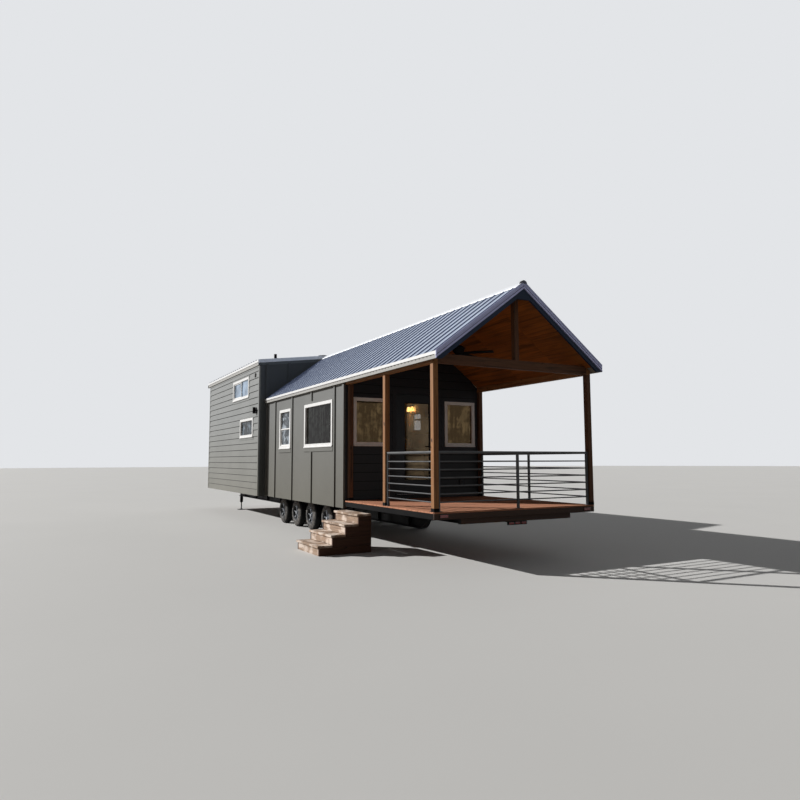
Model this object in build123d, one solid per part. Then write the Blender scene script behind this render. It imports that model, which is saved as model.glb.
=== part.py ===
from build123d import *
from math import cos, radians, sin, tan
import os

# Tiny house on wheels: a narrow cabin on a steel trailer, with a gabled porch in front,
# a board and batten middle and a wider, taller lap-sided rear under a low roof.
# House frame, in millimetres: X across, 0 on the centre line; Y along the house, 0 on the
# front faces of the porch posts and growing towards the rear; Z up from the ground.

# The gap between pieces that lie against each other without touching
CLEARANCE = 0.3

# Plan
HOUSE_WIDTH = 3240
PORCH_DEPTH = 3300
REAR_START_Y = 8450
HOUSE_END_Y = 14420
REAR_STEP_OUT = 210
WALL = 115

# Floor and deck
DECK_TOP = 840
FLOOR_TOP = 915
FLOOR_THICK = 214
DECK_BOARD = 25
DECK_RIM_DEPTH = 87
DECK_RIM_THICK = 40
FASCIA_BOTTOM_GAP = 4

# Main roof
ROOF_PITCH = 36.7
EAVE_Z = 3227
EAVE_OVERHANG = 76
RAKE_OVERHANG = 219
ROOF_THICK = 90
PAN = 4
RIB_HEIGHT = 19
RIB_PITCH = 229
RIB_BASE = 60
RIB_CROWN = 22
RIDGE_WING = 160
RIDGE_SHEET = 4
EAVE_TRIM_THICK = 20
EAVE_TRIM_DEPTH = 96
RAKE_TRIM_THICK = 19
RAKE_TRIM_DEPTH = 128
RAKE_BOARD_THICK = 35
RAKE_BOARD_DEPTH = 240
RAKE_TAIL_DROP = 123
GUSSET_DROP = 301

# Rear roof
REAR_PITCH = 7.2
REAR_EAVE_Z = 4301
REAR_EAVE_OVERHANG = 54
REAR_ROOF_DEPTH = 150
REAR_ROOF_OVERHANG = 200

# Porch timber
POST = 89
POST_BASE = 25
BASE_MARGIN = 6
BEAM_BOTTOM = 3095
TIE_DEPTH = 147
SIDE_POST_Y = 1590
WALL_POST_INSET = 50
CEILING = 18

# Railings
RAIL_TOP = 914
RAIL_CAP = 40
RAIL_BAR = 20
RAIL_LOWEST = 140
RAIL_COUNT = 6
RAIL_STEP = 122.5
RAIL_POST = 38

# Front wall openings
DOOR_WIDTH = 914
DOOR_HEIGHT = 2033
DOOR_THICK = 45
DOOR_GAP = 5
JAMB = 20
JAMB_DEPTH = 130
DOOR_SETBACK = 30
DOOR_STILE = 167
DOOR_TOP_RAIL = 170
DOOR_BOTTOM_RAIL = 261
SILL = 20
HINGE_RADIUS = 7
HINGE_HEIGHT = 100
HINGE_COUNT = 3
HINGE_INSET = 200
FRONT_WINDOW_DOOR_GAP = 218
FRONT_WINDOW_CORNER_GAP = 190
WINDOW_HEIGHT = 915
WINDOW_HEAD_DROP = 158

# Side windows: the middle section's from the porch's back wall, the rear section's from its front
SMALL_WINDOW = (3195, 3990)
PICTURE_WINDOW = (615, 2215)
KITCHEN_WINDOW = (2400, 3000)
KITCHEN_WINDOW_HEIGHT = 510
UPPER_WINDOW = (1030, 2730)
UPPER_WINDOW_Z = (3400, 3945)
LOWER_WINDOW = (560, 1850)
LOWER_WINDOW_Z = (2280, 2765)
END_WINDOW_WIDTH = 900
WINDOW_FRAME = 45
FRAME_PROUD = 14
FRAME_DEPTH = 100
GLASS = 12
GLASS_SETBACK = 30

# Trailer
MAIN_RAIL_X = 1000
MAIN_RAIL_DEPTH = 255
MAIN_RAIL_FLANGE = 100
MAIN_RAIL_WEB = 14
MAIN_RAIL_START_Y = 140
MAIN_RAIL_END_Y = 13350
RAIL_NOSE_Y = 1120
RAIL_NOSE_RUN = 280
CROSS_DEPTH = 140
CROSS_WIDTH = 60
CROSS_COUNT = 8
FRONT_BEAM_HALF = 1105
FRONT_BEAM_DEPTH = 105
FRONT_BEAM_TOP = 738
FRONT_BEAM_THICK = 80
JOIST_WIDTH = 50
JOIST_COUNT = 5
TYRE_RADIUS = 335
TYRE_WIDTH = 205
WHEEL_OUTER_X = 1280
FIRST_AXLE_Y = 5095
AXLE_PITCH = 990
AXLE_COUNT = 4
AXLE_RADIUS = 38
HUB_INSET = 25
TREAD_CORNER = 14
TREAD_SHOULDER = 40
SIDEWALL_RADIUS = 299
BEAD_RADIUS = 194
RIM_RADIUS = 180
RIM_LIP = 2
BARREL_RADIUS = 160
SPOKE_FACE_INSET = 42
SPOKE_DEPTH = 34
SPOKES = 6
SPOKE_WINDOW = (72, 134)
SPOKE_WINDOW_WIDTH = (32, 72)
HUB_RADIUS = 55
SPRING_LENGTH = 640
SPRING_THICK = 36
SPRING_WIDTH = 60
HANGER_WIDTH = 50
JACK_Y = 13200
JACK_TUBE = 60
JACK_FOOT = 220
JACK_PLATE = 12

# Steps
STEP_WIDTH = 1060
STEP_CENTRE_Y = 2640
STEP_RUN = 245
STEP_COUNT = 4
STEP_NOSE = 28
STEP_TREAD = 38
STEP_BOARD = 38
STEP_GAP = 8

# Fan, lights and roof vent
FAN_Y = 1720
FAN_BLADE_Z = 3615
FAN_RADIUS = 660
FAN_HUB_RADIUS = 110
FAN_HUB_TOP = 3770
FAN_ROD_RADIUS = 13
FAN_CANOPY_RADIUS = 65
FAN_BLADES = 5
FAN_BLADE_WIDTH = 125
FAN_BLADE_THICK = 8
FAN_BLADE_TWIST = -10
FAN_BLADE_ROOT = 70
FAN_FIRST_BLADE = -46
TAIL_LIGHT = (150, 15, 54)
TAIL_LIGHT_INSET = 170
TAIL_LIGHT_Z = 776
CENTRE_LIGHT = (380, 40, 58)
SCONCE_SETBACK = 250
SCONCE_Z = 2956
SCONCE_REACH = 115
SCONCE_PLATE = (20, 100, 160)
SCONCE_ARM = 40
SCONCE_RADIUS = 38
SCONCE_HEIGHT = 170
VENT_X = -1100
VENT_SETBACK = 1000
VENT_RADIUS = 40
VENT_HEIGHT = 230

# Kitchen, seen through the door's glass
COUNTER = (1150, 3600)
COUNTER_DEPTH = 635
COUNTER_HEIGHT = 965
COUNTER_TOP_THICK = 40
COUNTER_NOSE = 25
TOE_KICK = (60, 100)
FAUCET_BACK = 155
FAUCET_SETBACK = 2590
FAUCET_HEIGHT = 290
FAUCET_TUBE = 12
FAUCET_REACH = 196
FAUCET_SPOUT = 90
FAUCET_BASE = (26, 30)
KITCHEN_LAMP_SETBACK = 2790
KITCHEN_LAMP_Z = 2985
KITCHEN_LAMP_SPAN = 330
KITCHEN_LAMP_REACH = 120
KITCHEN_LAMP_BAR = 30
SHADE_RADIUS = 48
SHADE_HEIGHT = 120
SHADE_SPACING = 180

# Worked-out places
HALF = HOUSE_WIDTH / 2
REAR_HALF = HALF + REAR_STEP_OUT
FLOOR_BOTTOM = FLOOR_TOP - FLOOR_THICK
SLOPE = tan(radians(ROOF_PITCH))
ACROSS = cos(radians(ROOF_PITCH))
EAVE_X = HALF + EAVE_OVERHANG
RIDGE_Z = EAVE_Z + EAVE_X * SLOPE
RAKE_TAIL_Z = EAVE_Z - RAKE_TAIL_DROP
GUSSET_Z = RIDGE_Z - GUSSET_DROP
SHEET_DROP = PAN / ACROSS
SLAB_DROP = ROOF_THICK / ACROSS
REAR_SLOPE = tan(radians(REAR_PITCH))
REAR_EAVE_X = REAR_HALF + REAR_EAVE_OVERHANG
REAR_RIDGE_Z = REAR_EAVE_Z + REAR_EAVE_X * REAR_SLOPE
DOOR_OPEN_HALF = DOOR_WIDTH / 2 + DOOR_GAP + JAMB
DOOR_BOTTOM = FLOOR_TOP + SILL + DOOR_GAP
DOOR_TOP = DOOR_BOTTOM + DOOR_HEIGHT
DOOR_HEAD = DOOR_TOP + DOOR_GAP + JAMB
DOOR_Y = PORCH_DEPTH + DOOR_SETBACK
FRONT_WINDOW_INNER_X = DOOR_OPEN_HALF + FRONT_WINDOW_DOOR_GAP
FRONT_WINDOW_WIDTH = HALF - FRONT_WINDOW_CORNER_GAP - FRONT_WINDOW_INNER_X
WINDOW_HEAD_Z = DOOR_HEAD - WINDOW_HEAD_DROP
WINDOW_SILL_Z = WINDOW_HEAD_Z - WINDOW_HEIGHT
SCONCE_Y = REAR_START_Y + SCONCE_SETBACK
VENT_Y = REAR_START_Y + VENT_SETBACK
FAUCET_X = HALF - WALL - FAUCET_BACK
FAUCET_Y = PORCH_DEPTH + FAUCET_SETBACK
KITCHEN_LAMP_Y = PORCH_DEPTH + KITCHEN_LAMP_SETBACK
HINGE_X = -DOOR_WIDTH / 2 - DOOR_GAP / 2
HINGE_Y = DOOR_Y + DOOR_THICK + HINGE_RADIUS + CLEARANCE
MAIN_RAIL_TOP = FLOOR_BOTTOM
RAIL_NOSE_LOW = FRONT_BEAM_TOP - FRONT_BEAM_DEPTH
POST_BOTTOM = DECK_TOP + POST_BASE
STEP_RISE = DECK_TOP / (STEP_COUNT + 1)
STEP_FOOT_X = -HALF - STEP_GAP - STEP_COUNT * STEP_RUN
LEFT_REACH = -STEP_FOOT_X + STEP_NOSE
FRONT_REACH = -RAKE_OVERHANG
REAR_REACH = HOUSE_END_Y + REAR_ROOF_OVERHANG


def roof_z(x, drop=0):
    """Height of the main roof's pan surface over x, less a vertical drop."""
    return RIDGE_Z - SLOPE * abs(x) - drop


def rear_z(x, drop=0):
    """Height of the rear roof's surface over x, less a vertical drop."""
    return REAR_RIDGE_Z - REAR_SLOPE * abs(x) - drop


def block(x0, x1, y0, y1, z0, z1):
    """A box between two corners."""
    size = (abs(x1 - x0), abs(y1 - y0), abs(z1 - z0))
    return Pos((x0 + x1) / 2, (y0 + y1) / 2, (z0 + z1) / 2) * Box(*size)


def slab_xz(points, y0, y1):
    """An outline in X and Z, carried along Y from y0 to y1."""
    outline = Plane.XZ * make_face(Polyline(*points, close=True))
    return Pos(0, y0, 0) * extrude(outline, amount=-(y1 - y0))


def slab_yz(points, x0, x1):
    """An outline in Y and Z, carried along X from x0 to x1."""
    outline = Plane.YZ * make_face(Polyline(*points, close=True))
    return Pos(x0, 0, 0) * extrude(outline, amount=x1 - x0)


def mirrored(shape):
    """The same piece on the other side of the house."""
    return mirror(shape, about=Plane.YZ)


def both(shape):
    """A piece and its mirror image, as separate solids."""
    return Compound([*shape.solids(), *mirrored(shape).solids()])


def group(shapes):
    """Several solids that stay separate in one node."""
    return Compound([solid for shape in shapes for solid in shape.solids()])


# Floor and deck

def floor_main():
    return block(-HALF, HALF, PORCH_DEPTH, REAR_START_Y, FLOOR_BOTTOM, FLOOR_TOP)


def floor_rear():
    return block(-REAR_HALF, REAR_HALF, REAR_START_Y, HOUSE_END_Y, FLOOR_BOTTOM, FLOOR_TOP)


def porch_deck():
    return block(-HALF, HALF, 0, PORCH_DEPTH, DECK_TOP - DECK_BOARD, DECK_TOP)


def deck_side_rims():
    top = DECK_TOP - DECK_BOARD
    rim = block(-HALF, -HALF + DECK_RIM_THICK, DECK_RIM_THICK, PORCH_DEPTH, top - DECK_RIM_DEPTH, top)
    return both(rim)


def deck_fascia():
    top = DECK_TOP - DECK_BOARD
    return block(-HALF, HALF, 0, DECK_RIM_THICK, top - DECK_RIM_DEPTH - FASCIA_BOTTOM_GAP, top)


def cross_members():
    """Deck joists, the beam under the deck's front, and the trailer's members between its rails."""
    reach = HALF - DECK_RIM_THICK
    first = MAIN_RAIL_START_Y + JOIST_WIDTH
    pitch = (PORCH_DEPTH - JOIST_WIDTH - first) / (JOIST_COUNT - 1)
    joists = [
        block(-reach, reach, first + i * pitch, first + i * pitch + JOIST_WIDTH,
              MAIN_RAIL_TOP, DECK_TOP - DECK_BOARD)
        for i in range(JOIST_COUNT)
    ]
    beam = block(-FRONT_BEAM_HALF, FRONT_BEAM_HALF, MAIN_RAIL_START_Y - FRONT_BEAM_THICK,
                 MAIN_RAIL_START_Y, RAIL_NOSE_LOW, FRONT_BEAM_TOP)
    inner = MAIN_RAIL_X - MAIN_RAIL_FLANGE / 2
    span = MAIN_RAIL_END_Y - CROSS_WIDTH - PORCH_DEPTH
    members = [
        block(-inner, inner, y, y + CROSS_WIDTH, MAIN_RAIL_TOP - CROSS_DEPTH, MAIN_RAIL_TOP)
        for y in (PORCH_DEPTH + i * span / (CROSS_COUNT - 1) for i in range(CROSS_COUNT))
    ]
    return group([*joists, beam, *members])


def main_rails():
    """Two steel beams of I section, cut back under the deck to a shallow nose behind the front beam."""
    low = MAIN_RAIL_TOP - MAIN_RAIL_DEPTH
    flange = MAIN_RAIL_FLANGE / 2
    underside = [
        (MAIN_RAIL_START_Y, RAIL_NOSE_LOW), (RAIL_NOSE_Y, RAIL_NOSE_LOW),
        (RAIL_NOSE_Y + RAIL_NOSE_RUN, low), (MAIN_RAIL_END_Y, low),
    ]
    bottom = [(y, z + MAIN_RAIL_WEB) for y, z in reversed(underside)]
    beam = slab_yz(underside + bottom, -flange, flange)
    beam += slab_yz([*underside, (MAIN_RAIL_END_Y, MAIN_RAIL_TOP), (MAIN_RAIL_START_Y, MAIN_RAIL_TOP)],
                    -MAIN_RAIL_WEB / 2, MAIN_RAIL_WEB / 2)
    beam += block(-flange, flange, MAIN_RAIL_START_Y, MAIN_RAIL_END_Y,
                  MAIN_RAIL_TOP - MAIN_RAIL_WEB, MAIN_RAIL_TOP)
    return both(Pos(MAIN_RAIL_X, 0, 0) * beam)


def axle_places():
    return [FIRST_AXLE_Y + i * AXLE_PITCH for i in range(AXLE_COUNT)]


def running_gear():
    """Axles with a leaf spring and its two hangers at each end."""
    reach = WHEEL_OUTER_X - TYRE_WIDTH + HUB_INSET
    rail_low = MAIN_RAIL_TOP - MAIN_RAIL_DEPTH
    spring_low = TYRE_RADIUS - AXLE_RADIUS - SPRING_THICK
    axles = []
    for y in axle_places():
        axle = Pos(0, y, TYRE_RADIUS) * Rot(0, 90, 0) * Cylinder(AXLE_RADIUS, 2 * reach)
        for side in (-1, 1):
            x = side * MAIN_RAIL_X
            leaf = block(x - SPRING_WIDTH / 2, x + SPRING_WIDTH / 2, y - SPRING_LENGTH / 2,
                         y + SPRING_LENGTH / 2, spring_low, spring_low + SPRING_THICK + AXLE_RADIUS / 2)
            axle += leaf
            for end in (-1, 1):
                centre = y + end * (SPRING_LENGTH - HANGER_WIDTH) / 2
                axle += block(x - SPRING_WIDTH / 2, x + SPRING_WIDTH / 2, centre - HANGER_WIDTH / 2,
                              centre + HANGER_WIDTH / 2, spring_low, rail_low)
        axles.append(axle)
    return group(axles)


def wheel(side, y):
    """A trailer tyre on a spoked rim, closed by its hub on the axle's end."""
    depth = TYRE_WIDTH
    face = depth - SPOKE_FACE_INSET
    back = face - SPOKE_DEPTH
    profile = [
        (0, face), (BARREL_RADIUS - TREAD_CORNER, face), (BARREL_RADIUS, depth - 3 * RIM_LIP),
        (RIM_RADIUS, depth - RIM_LIP), (BEAD_RADIUS, depth), (SIDEWALL_RADIUS, depth),
        (TYRE_RADIUS - TREAD_CORNER, depth - TREAD_CORNER), (TYRE_RADIUS, depth - TREAD_SHOULDER),
        (TYRE_RADIUS, TREAD_SHOULDER), (TYRE_RADIUS - TREAD_CORNER, TREAD_CORNER), (SIDEWALL_RADIUS, 0),
        (BEAD_RADIUS, 0), (RIM_RADIUS, RIM_LIP), (BARREL_RADIUS, 3 * RIM_LIP), (BARREL_RADIUS, back),
        (HUB_RADIUS, back), (HUB_RADIUS, HUB_INSET + CLEARANCE), (0, HUB_INSET + CLEARANCE),
    ]
    outline = Plane.XY * make_face(Polyline(*profile, close=True))
    body = revolve(outline, Axis.Y)
    (low, high), (narrow, wide) = SPOKE_WINDOW, SPOKE_WINDOW_WIDTH
    corners = [(low, -narrow / 2), (high, -wide / 2), (high, wide / 2), (low, narrow / 2)]
    window = make_face(Polyline(*corners, close=True))
    for i in range(SPOKES):
        hole = Rot(-90, 0, 0) * extrude(window, amount=depth, both=True)
        body -= Rot(0, 360 * i / SPOKES, 0) * hole
    inner_x = WHEEL_OUTER_X - depth
    turned = Pos(inner_x, y, TYRE_RADIUS) * Rot(0, 0, -90) * body
    return turned if side > 0 else mirrored(turned)


def rear_jacks():
    """Screw jacks under the rear ends of the rails, on square foot plates."""
    x = MAIN_RAIL_X
    tube = block(x - JACK_TUBE / 2, x + JACK_TUBE / 2, JACK_Y - JACK_TUBE / 2, JACK_Y + JACK_TUBE / 2,
                 JACK_PLATE, MAIN_RAIL_TOP - MAIN_RAIL_DEPTH)
    foot = block(x - JACK_FOOT / 2, x + JACK_FOOT / 2, JACK_Y - JACK_FOOT / 2, JACK_Y + JACK_FOOT / 2,
                 0, JACK_PLATE)
    return both(tube + foot)


# Walls

def pierced(wall, openings):
    """A wall with its window openings cut through it."""
    for opening in openings:
        wall -= opening
    return wall


def side_opening(x, span_y, span_z):
    """A cutter through a side wall whose outer face is at x."""
    return block(x - WALL, x + WALL, span_y[0], span_y[1], span_z[0], span_z[1])


def main_side_wall(windows):
    """The left side wall of the middle section, with its head cut to the roof's slope."""
    inner = HALF - WALL
    outline = [
        (-HALF, FLOOR_TOP), (-inner, FLOOR_TOP), (-inner, roof_z(inner, SHEET_DROP + SLAB_DROP)),
        (-HALF, roof_z(HALF, SHEET_DROP + SLAB_DROP)),
    ]
    wall = slab_xz(outline, PORCH_DEPTH, REAR_START_Y)
    return pierced(wall, [side_opening(-HALF, *w) for w in windows])


def rear_side_wall(windows):
    inner = REAR_HALF - WALL
    outline = [
        (-REAR_HALF, FLOOR_TOP), (-inner, FLOOR_TOP), (-inner, rear_z(inner, REAR_ROOF_DEPTH)),
        (-REAR_HALF, rear_z(REAR_HALF, REAR_ROOF_DEPTH)),
    ]
    wall = slab_xz(outline, REAR_START_Y + WALL, HOUSE_END_Y - WALL)
    return pierced(wall, [side_opening(-REAR_HALF, *w) for w in windows])


def along(start, span):
    """The two ends along Y of a window or a counter, from their distances behind start."""
    return (start + span[0], start + span[1])


def left_windows():
    body = (WINDOW_SILL_Z, WINDOW_HEAD_Z)
    return [(along(PORCH_DEPTH, SMALL_WINDOW), body), (along(PORCH_DEPTH, PICTURE_WINDOW), body)]


def right_windows():
    body = (WINDOW_SILL_Z, WINDOW_HEAD_Z)
    kitchen = (WINDOW_HEAD_Z - KITCHEN_WINDOW_HEIGHT, WINDOW_HEAD_Z)
    return [(along(PORCH_DEPTH, KITCHEN_WINDOW), kitchen), (along(PORCH_DEPTH, PICTURE_WINDOW), body)]


def rear_windows():
    return [(along(REAR_START_Y, UPPER_WINDOW), UPPER_WINDOW_Z),
            (along(REAR_START_Y, LOWER_WINDOW), LOWER_WINDOW_Z)]


def front_window_cut(side):
    inner = FRONT_WINDOW_INNER_X
    outer = inner + FRONT_WINDOW_WIDTH
    return block(side * inner, side * outer, PORCH_DEPTH - WALL, PORCH_DEPTH + 2 * WALL,
                 WINDOW_SILL_Z, WINDOW_HEAD_Z)


def front_wall(side):
    """The porch's back wall beside the door, between the side wall and the door opening."""
    wall = block(side * DOOR_OPEN_HALF, side * (HALF - WALL), PORCH_DEPTH, PORCH_DEPTH + WALL,
                 FLOOR_TOP, DOOR_HEAD)
    return pierced(wall, [front_window_cut(side)])


def front_wall_over_door():
    """The wall over the door, up to the roof's underside."""
    inner = HALF - WALL
    drop = SHEET_DROP + SLAB_DROP
    outline = [
        (-inner, DOOR_HEAD), (inner, DOOR_HEAD), (inner, roof_z(inner, drop)), (0, roof_z(0, drop)),
        (-inner, roof_z(inner, drop)),
    ]
    return slab_xz(outline, PORCH_DEPTH, PORCH_DEPTH + WALL)


def dormer_wall(side):
    """The rear section's front wall: a strip beside the main wall and a face over the main roof."""
    rib_top = RIB_HEIGHT / ACROSS
    crossing = (RIDGE_Z + rib_top - rear_z(0, REAR_ROOF_DEPTH)) / (SLOPE - REAR_SLOPE)
    inner = HALF - WALL
    drop = SHEET_DROP + SLAB_DROP
    outline = [
        (-REAR_HALF, FLOOR_TOP), (-inner, FLOOR_TOP), (-inner, roof_z(inner, drop)),
        (-crossing, roof_z(crossing, drop)), (-crossing, rear_z(crossing, REAR_ROOF_DEPTH)),
        (-REAR_HALF, rear_z(REAR_HALF, REAR_ROOF_DEPTH)),
    ]
    wall = slab_xz(outline, REAR_START_Y, REAR_START_Y + WALL)
    return wall if side < 0 else mirrored(wall)


def end_openings():
    half = END_WINDOW_WIDTH / 2
    return [(-half, half, *UPPER_WINDOW_Z), (-half, half, *LOWER_WINDOW_Z)]


def rear_end_wall():
    outline = [
        (-REAR_HALF, FLOOR_TOP), (REAR_HALF, FLOOR_TOP), (REAR_HALF, rear_z(REAR_HALF, REAR_ROOF_DEPTH)),
        (0, rear_z(0, REAR_ROOF_DEPTH)), (-REAR_HALF, rear_z(REAR_HALF, REAR_ROOF_DEPTH)),
    ]
    wall = slab_xz(outline, HOUSE_END_Y - WALL, HOUSE_END_Y)
    cuts = [block(x0, x1, HOUSE_END_Y - 2 * WALL, HOUSE_END_Y + WALL, z0, z1)
            for x0, x1, z0, z1 in end_openings()]
    return pierced(wall, cuts)


# Windows

def ring_frame(width, height):
    """A window frame lying in XZ around its own centre, its outer face at y = 0."""
    outer = Box(width, FRAME_DEPTH, height)
    inner = Box(width - 2 * WINDOW_FRAME, 2 * FRAME_DEPTH, height - 2 * WINDOW_FRAME)
    return Pos(0, FRAME_DEPTH / 2, 0) * (outer - inner)


def pane(width, height):
    inner = 2 * (WINDOW_FRAME + CLEARANCE)
    return Pos(0, GLASS_SETBACK + GLASS / 2, 0) * Box(width - inner, GLASS, height - inner)


def window_places():
    """Every window as its place, its turn about Z, its width and its height."""
    places = []
    body_height = WINDOW_HEAD_Z - WINDOW_SILL_Z
    body_mid = (WINDOW_HEAD_Z + WINDOW_SILL_Z) / 2
    for side in (-1, 1):
        x = side * (FRONT_WINDOW_INNER_X + FRONT_WINDOW_WIDTH / 2)
        places.append((Pos(x, PORCH_DEPTH - FRAME_PROUD, body_mid), 0, FRONT_WINDOW_WIDTH, body_height))
    for side, face, windows in (
        (-1, HALF, left_windows()), (1, HALF, right_windows()),
        (-1, REAR_HALF, rear_windows()), (1, REAR_HALF, rear_windows()),
    ):
        for (y0, y1), (z0, z1) in windows:
            place = Pos(side * (face + FRAME_PROUD), (y0 + y1) / 2, (z0 + z1) / 2)
            places.append((place, side * 90, y1 - y0, z1 - z0))
    for x0, x1, z0, z1 in end_openings():
        place = Pos((x0 + x1) / 2, HOUSE_END_Y + FRAME_PROUD, (z0 + z1) / 2)
        places.append((place, 180, x1 - x0, z1 - z0))
    return places


def window_frames():
    return group([place * Rot(0, 0, turn) * ring_frame(w, h) for place, turn, w, h in window_places()])


def window_glass():
    return group([place * Rot(0, 0, turn) * pane(w, h) for place, turn, w, h in window_places()])


# Door

def door_frame():
    """Two jambs, a head and a sill, with the hinge barrels on the left jamb's inner edge."""
    outer = DOOR_OPEN_HALF
    inner = outer - JAMB
    y0 = PORCH_DEPTH - FRAME_PROUD
    y1 = y0 + JAMB_DEPTH
    frame = block(-outer, outer, y0, y1, FLOOR_TOP, DOOR_HEAD)
    frame -= block(-inner, inner, y0 - 1, y1 + 1, FLOOR_TOP + SILL, DOOR_HEAD - JAMB)
    reach = DOOR_HEIGHT / 2 - HINGE_INSET
    middle = (DOOR_BOTTOM + DOOR_TOP) / 2
    for i in range(HINGE_COUNT):
        z = middle - reach + 2 * reach * i / (HINGE_COUNT - 1)
        frame += Pos(HINGE_X, HINGE_Y, z) * Cylinder(HINGE_RADIUS, HINGE_HEIGHT)
    return frame


def door_panel():
    """Stiles and rails of a door glazed over most of its height."""
    half = DOOR_WIDTH / 2
    panel = block(-half, half, DOOR_Y, DOOR_Y + DOOR_THICK, DOOR_BOTTOM, DOOR_TOP)
    panel -= block(-half + DOOR_STILE, half - DOOR_STILE, DOOR_Y - 1, DOOR_Y + DOOR_THICK + 1,
                   DOOR_BOTTOM + DOOR_BOTTOM_RAIL, DOOR_TOP - DOOR_TOP_RAIL)
    return panel


def door_glass():
    half = DOOR_WIDTH / 2 - DOOR_STILE - CLEARANCE
    mid = DOOR_Y + DOOR_THICK / 2
    return block(-half, half, mid - GLASS / 2, mid + GLASS / 2,
                 DOOR_BOTTOM + DOOR_BOTTOM_RAIL + CLEARANCE, DOOR_TOP - DOOR_TOP_RAIL - CLEARANCE)


# Roofs

def main_roof(side):
    """A sloping slab of rafters and deck from the eave to the ridge."""
    edge = EAVE_X - EAVE_TRIM_THICK
    outline = [
        (0, roof_z(0, SHEET_DROP)), (-edge, roof_z(edge, SHEET_DROP)),
        (-edge, roof_z(edge, SHEET_DROP + SLAB_DROP)), (0, roof_z(0, SHEET_DROP + SLAB_DROP)),
    ]
    front = RAKE_TRIM_THICK + RAKE_BOARD_THICK - RAKE_OVERHANG
    slab = slab_xz(outline, front, REAR_START_Y)
    return slab if side < 0 else mirrored(slab)


def roof_sheets():
    """Ribbed metal on both slopes: a flat pan with trapezoid ribs from ridge to eave."""
    start = -RAKE_OVERHANG
    length = REAR_START_Y - start
    count = int(length // RIB_PITCH)
    first = (length - (count - 1) * RIB_PITCH) / 2
    line = [(0, 0), (0, PAN)]
    for i in range(count):
        mid = first + i * RIB_PITCH
        line += [(mid - RIB_BASE / 2, PAN), (mid - RIB_CROWN / 2, PAN + RIB_HEIGHT),
                 (mid + RIB_CROWN / 2, PAN + RIB_HEIGHT), (mid + RIB_BASE / 2, PAN)]
    line += [(length, PAN), (length, 0)]
    down_slope = (cos(radians(ROOF_PITCH)), 0, -sin(radians(ROOF_PITCH)))
    base = Plane(origin=(0, start, RIDGE_Z - SHEET_DROP), x_dir=(0, 1, 0), z_dir=down_slope)
    profile = base * make_face(Polyline(*line, close=True))
    run = (EAVE_X + EAVE_TRIM_THICK / 2) / ACROSS
    sheet = extrude(profile, amount=run)
    sheet &= block(0, 2 * HALF, start, REAR_START_Y, 0, 2 * RIDGE_Z)
    return both(sheet)


def ridge_cap():
    """A folded strip over the ribs at the ridge."""
    rise = RIB_HEIGHT / ACROSS
    wing = RIDGE_WING * ACROSS
    thick = RIDGE_SHEET / ACROSS
    outline = [
        (-wing, roof_z(wing, -rise)), (0, roof_z(0, -rise)), (wing, roof_z(wing, -rise)),
        (wing, roof_z(wing, -rise - thick)), (0, roof_z(0, -rise - thick)),
        (-wing, roof_z(wing, -rise - thick)),
    ]
    return slab_xz(outline, -RAKE_OVERHANG, REAR_START_Y)


def rake_trim():
    """Metal trim along the two slopes of the porch gable."""
    top = SHEET_DROP
    outline = [
        (0, roof_z(0, top)), (-EAVE_X, roof_z(EAVE_X, top)), (-EAVE_X, roof_z(EAVE_X, RAKE_TRIM_DEPTH)),
        (0, roof_z(0, RAKE_TRIM_DEPTH)), (EAVE_X, roof_z(EAVE_X, RAKE_TRIM_DEPTH)),
        (EAVE_X, roof_z(EAVE_X, top)),
    ]
    return slab_xz(outline, -RAKE_OVERHANG, RAKE_TRIM_THICK - RAKE_OVERHANG)


def rake_boards():
    """Gable boards with level-cut tails and a small level gusset at the peak."""
    top = SHEET_DROP
    tail = EAVE_X - EAVE_TRIM_THICK
    tail_in = (RIDGE_Z - RAKE_BOARD_DEPTH - RAKE_TAIL_Z) / SLOPE
    peak = (RIDGE_Z - RAKE_BOARD_DEPTH - GUSSET_Z) / SLOPE
    half = [
        (tail, roof_z(tail, top)), (tail, RAKE_TAIL_Z), (tail_in, RAKE_TAIL_Z), (peak, GUSSET_Z),
    ]
    outline = [(0, roof_z(0, top)), *half, *[(-x, z) for x, z in reversed(half)]]
    start = RAKE_TRIM_THICK - RAKE_OVERHANG
    return slab_xz(outline, start, start + RAKE_BOARD_THICK)


def eave_trims():
    """Pale metal trim along the eaves of the main roof and of the rear roof."""
    inner = EAVE_X - EAVE_TRIM_THICK
    top = roof_z(EAVE_X, SHEET_DROP)
    front = RAKE_TRIM_THICK - RAKE_OVERHANG
    main = block(-EAVE_X, -inner, front, REAR_START_Y, EAVE_Z - EAVE_TRIM_DEPTH, top)
    return both(main)


def rear_roof(side):
    """The low roof of the rear section, one slope to each side."""
    outline = [
        (0, rear_z(0)), (-REAR_EAVE_X, rear_z(REAR_EAVE_X)),
        (-REAR_EAVE_X, rear_z(REAR_EAVE_X, REAR_ROOF_DEPTH)), (0, rear_z(0, REAR_ROOF_DEPTH)),
    ]
    slab = slab_xz(outline, REAR_START_Y, REAR_REACH)
    return slab if side < 0 else mirrored(slab)


def roof_vent():
    low = rear_z(VENT_X)
    pipe = Pos(VENT_X, VENT_Y, low + VENT_HEIGHT / 2) * Cylinder(VENT_RADIUS, VENT_HEIGHT + VENT_RADIUS)
    under = slab_xz([(0, 0), (0, rear_z(0)), (-REAR_EAVE_X, rear_z(REAR_EAVE_X)), (-REAR_EAVE_X, 0)],
                    REAR_START_Y, REAR_REACH)
    return pipe - under


# Porch

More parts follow.
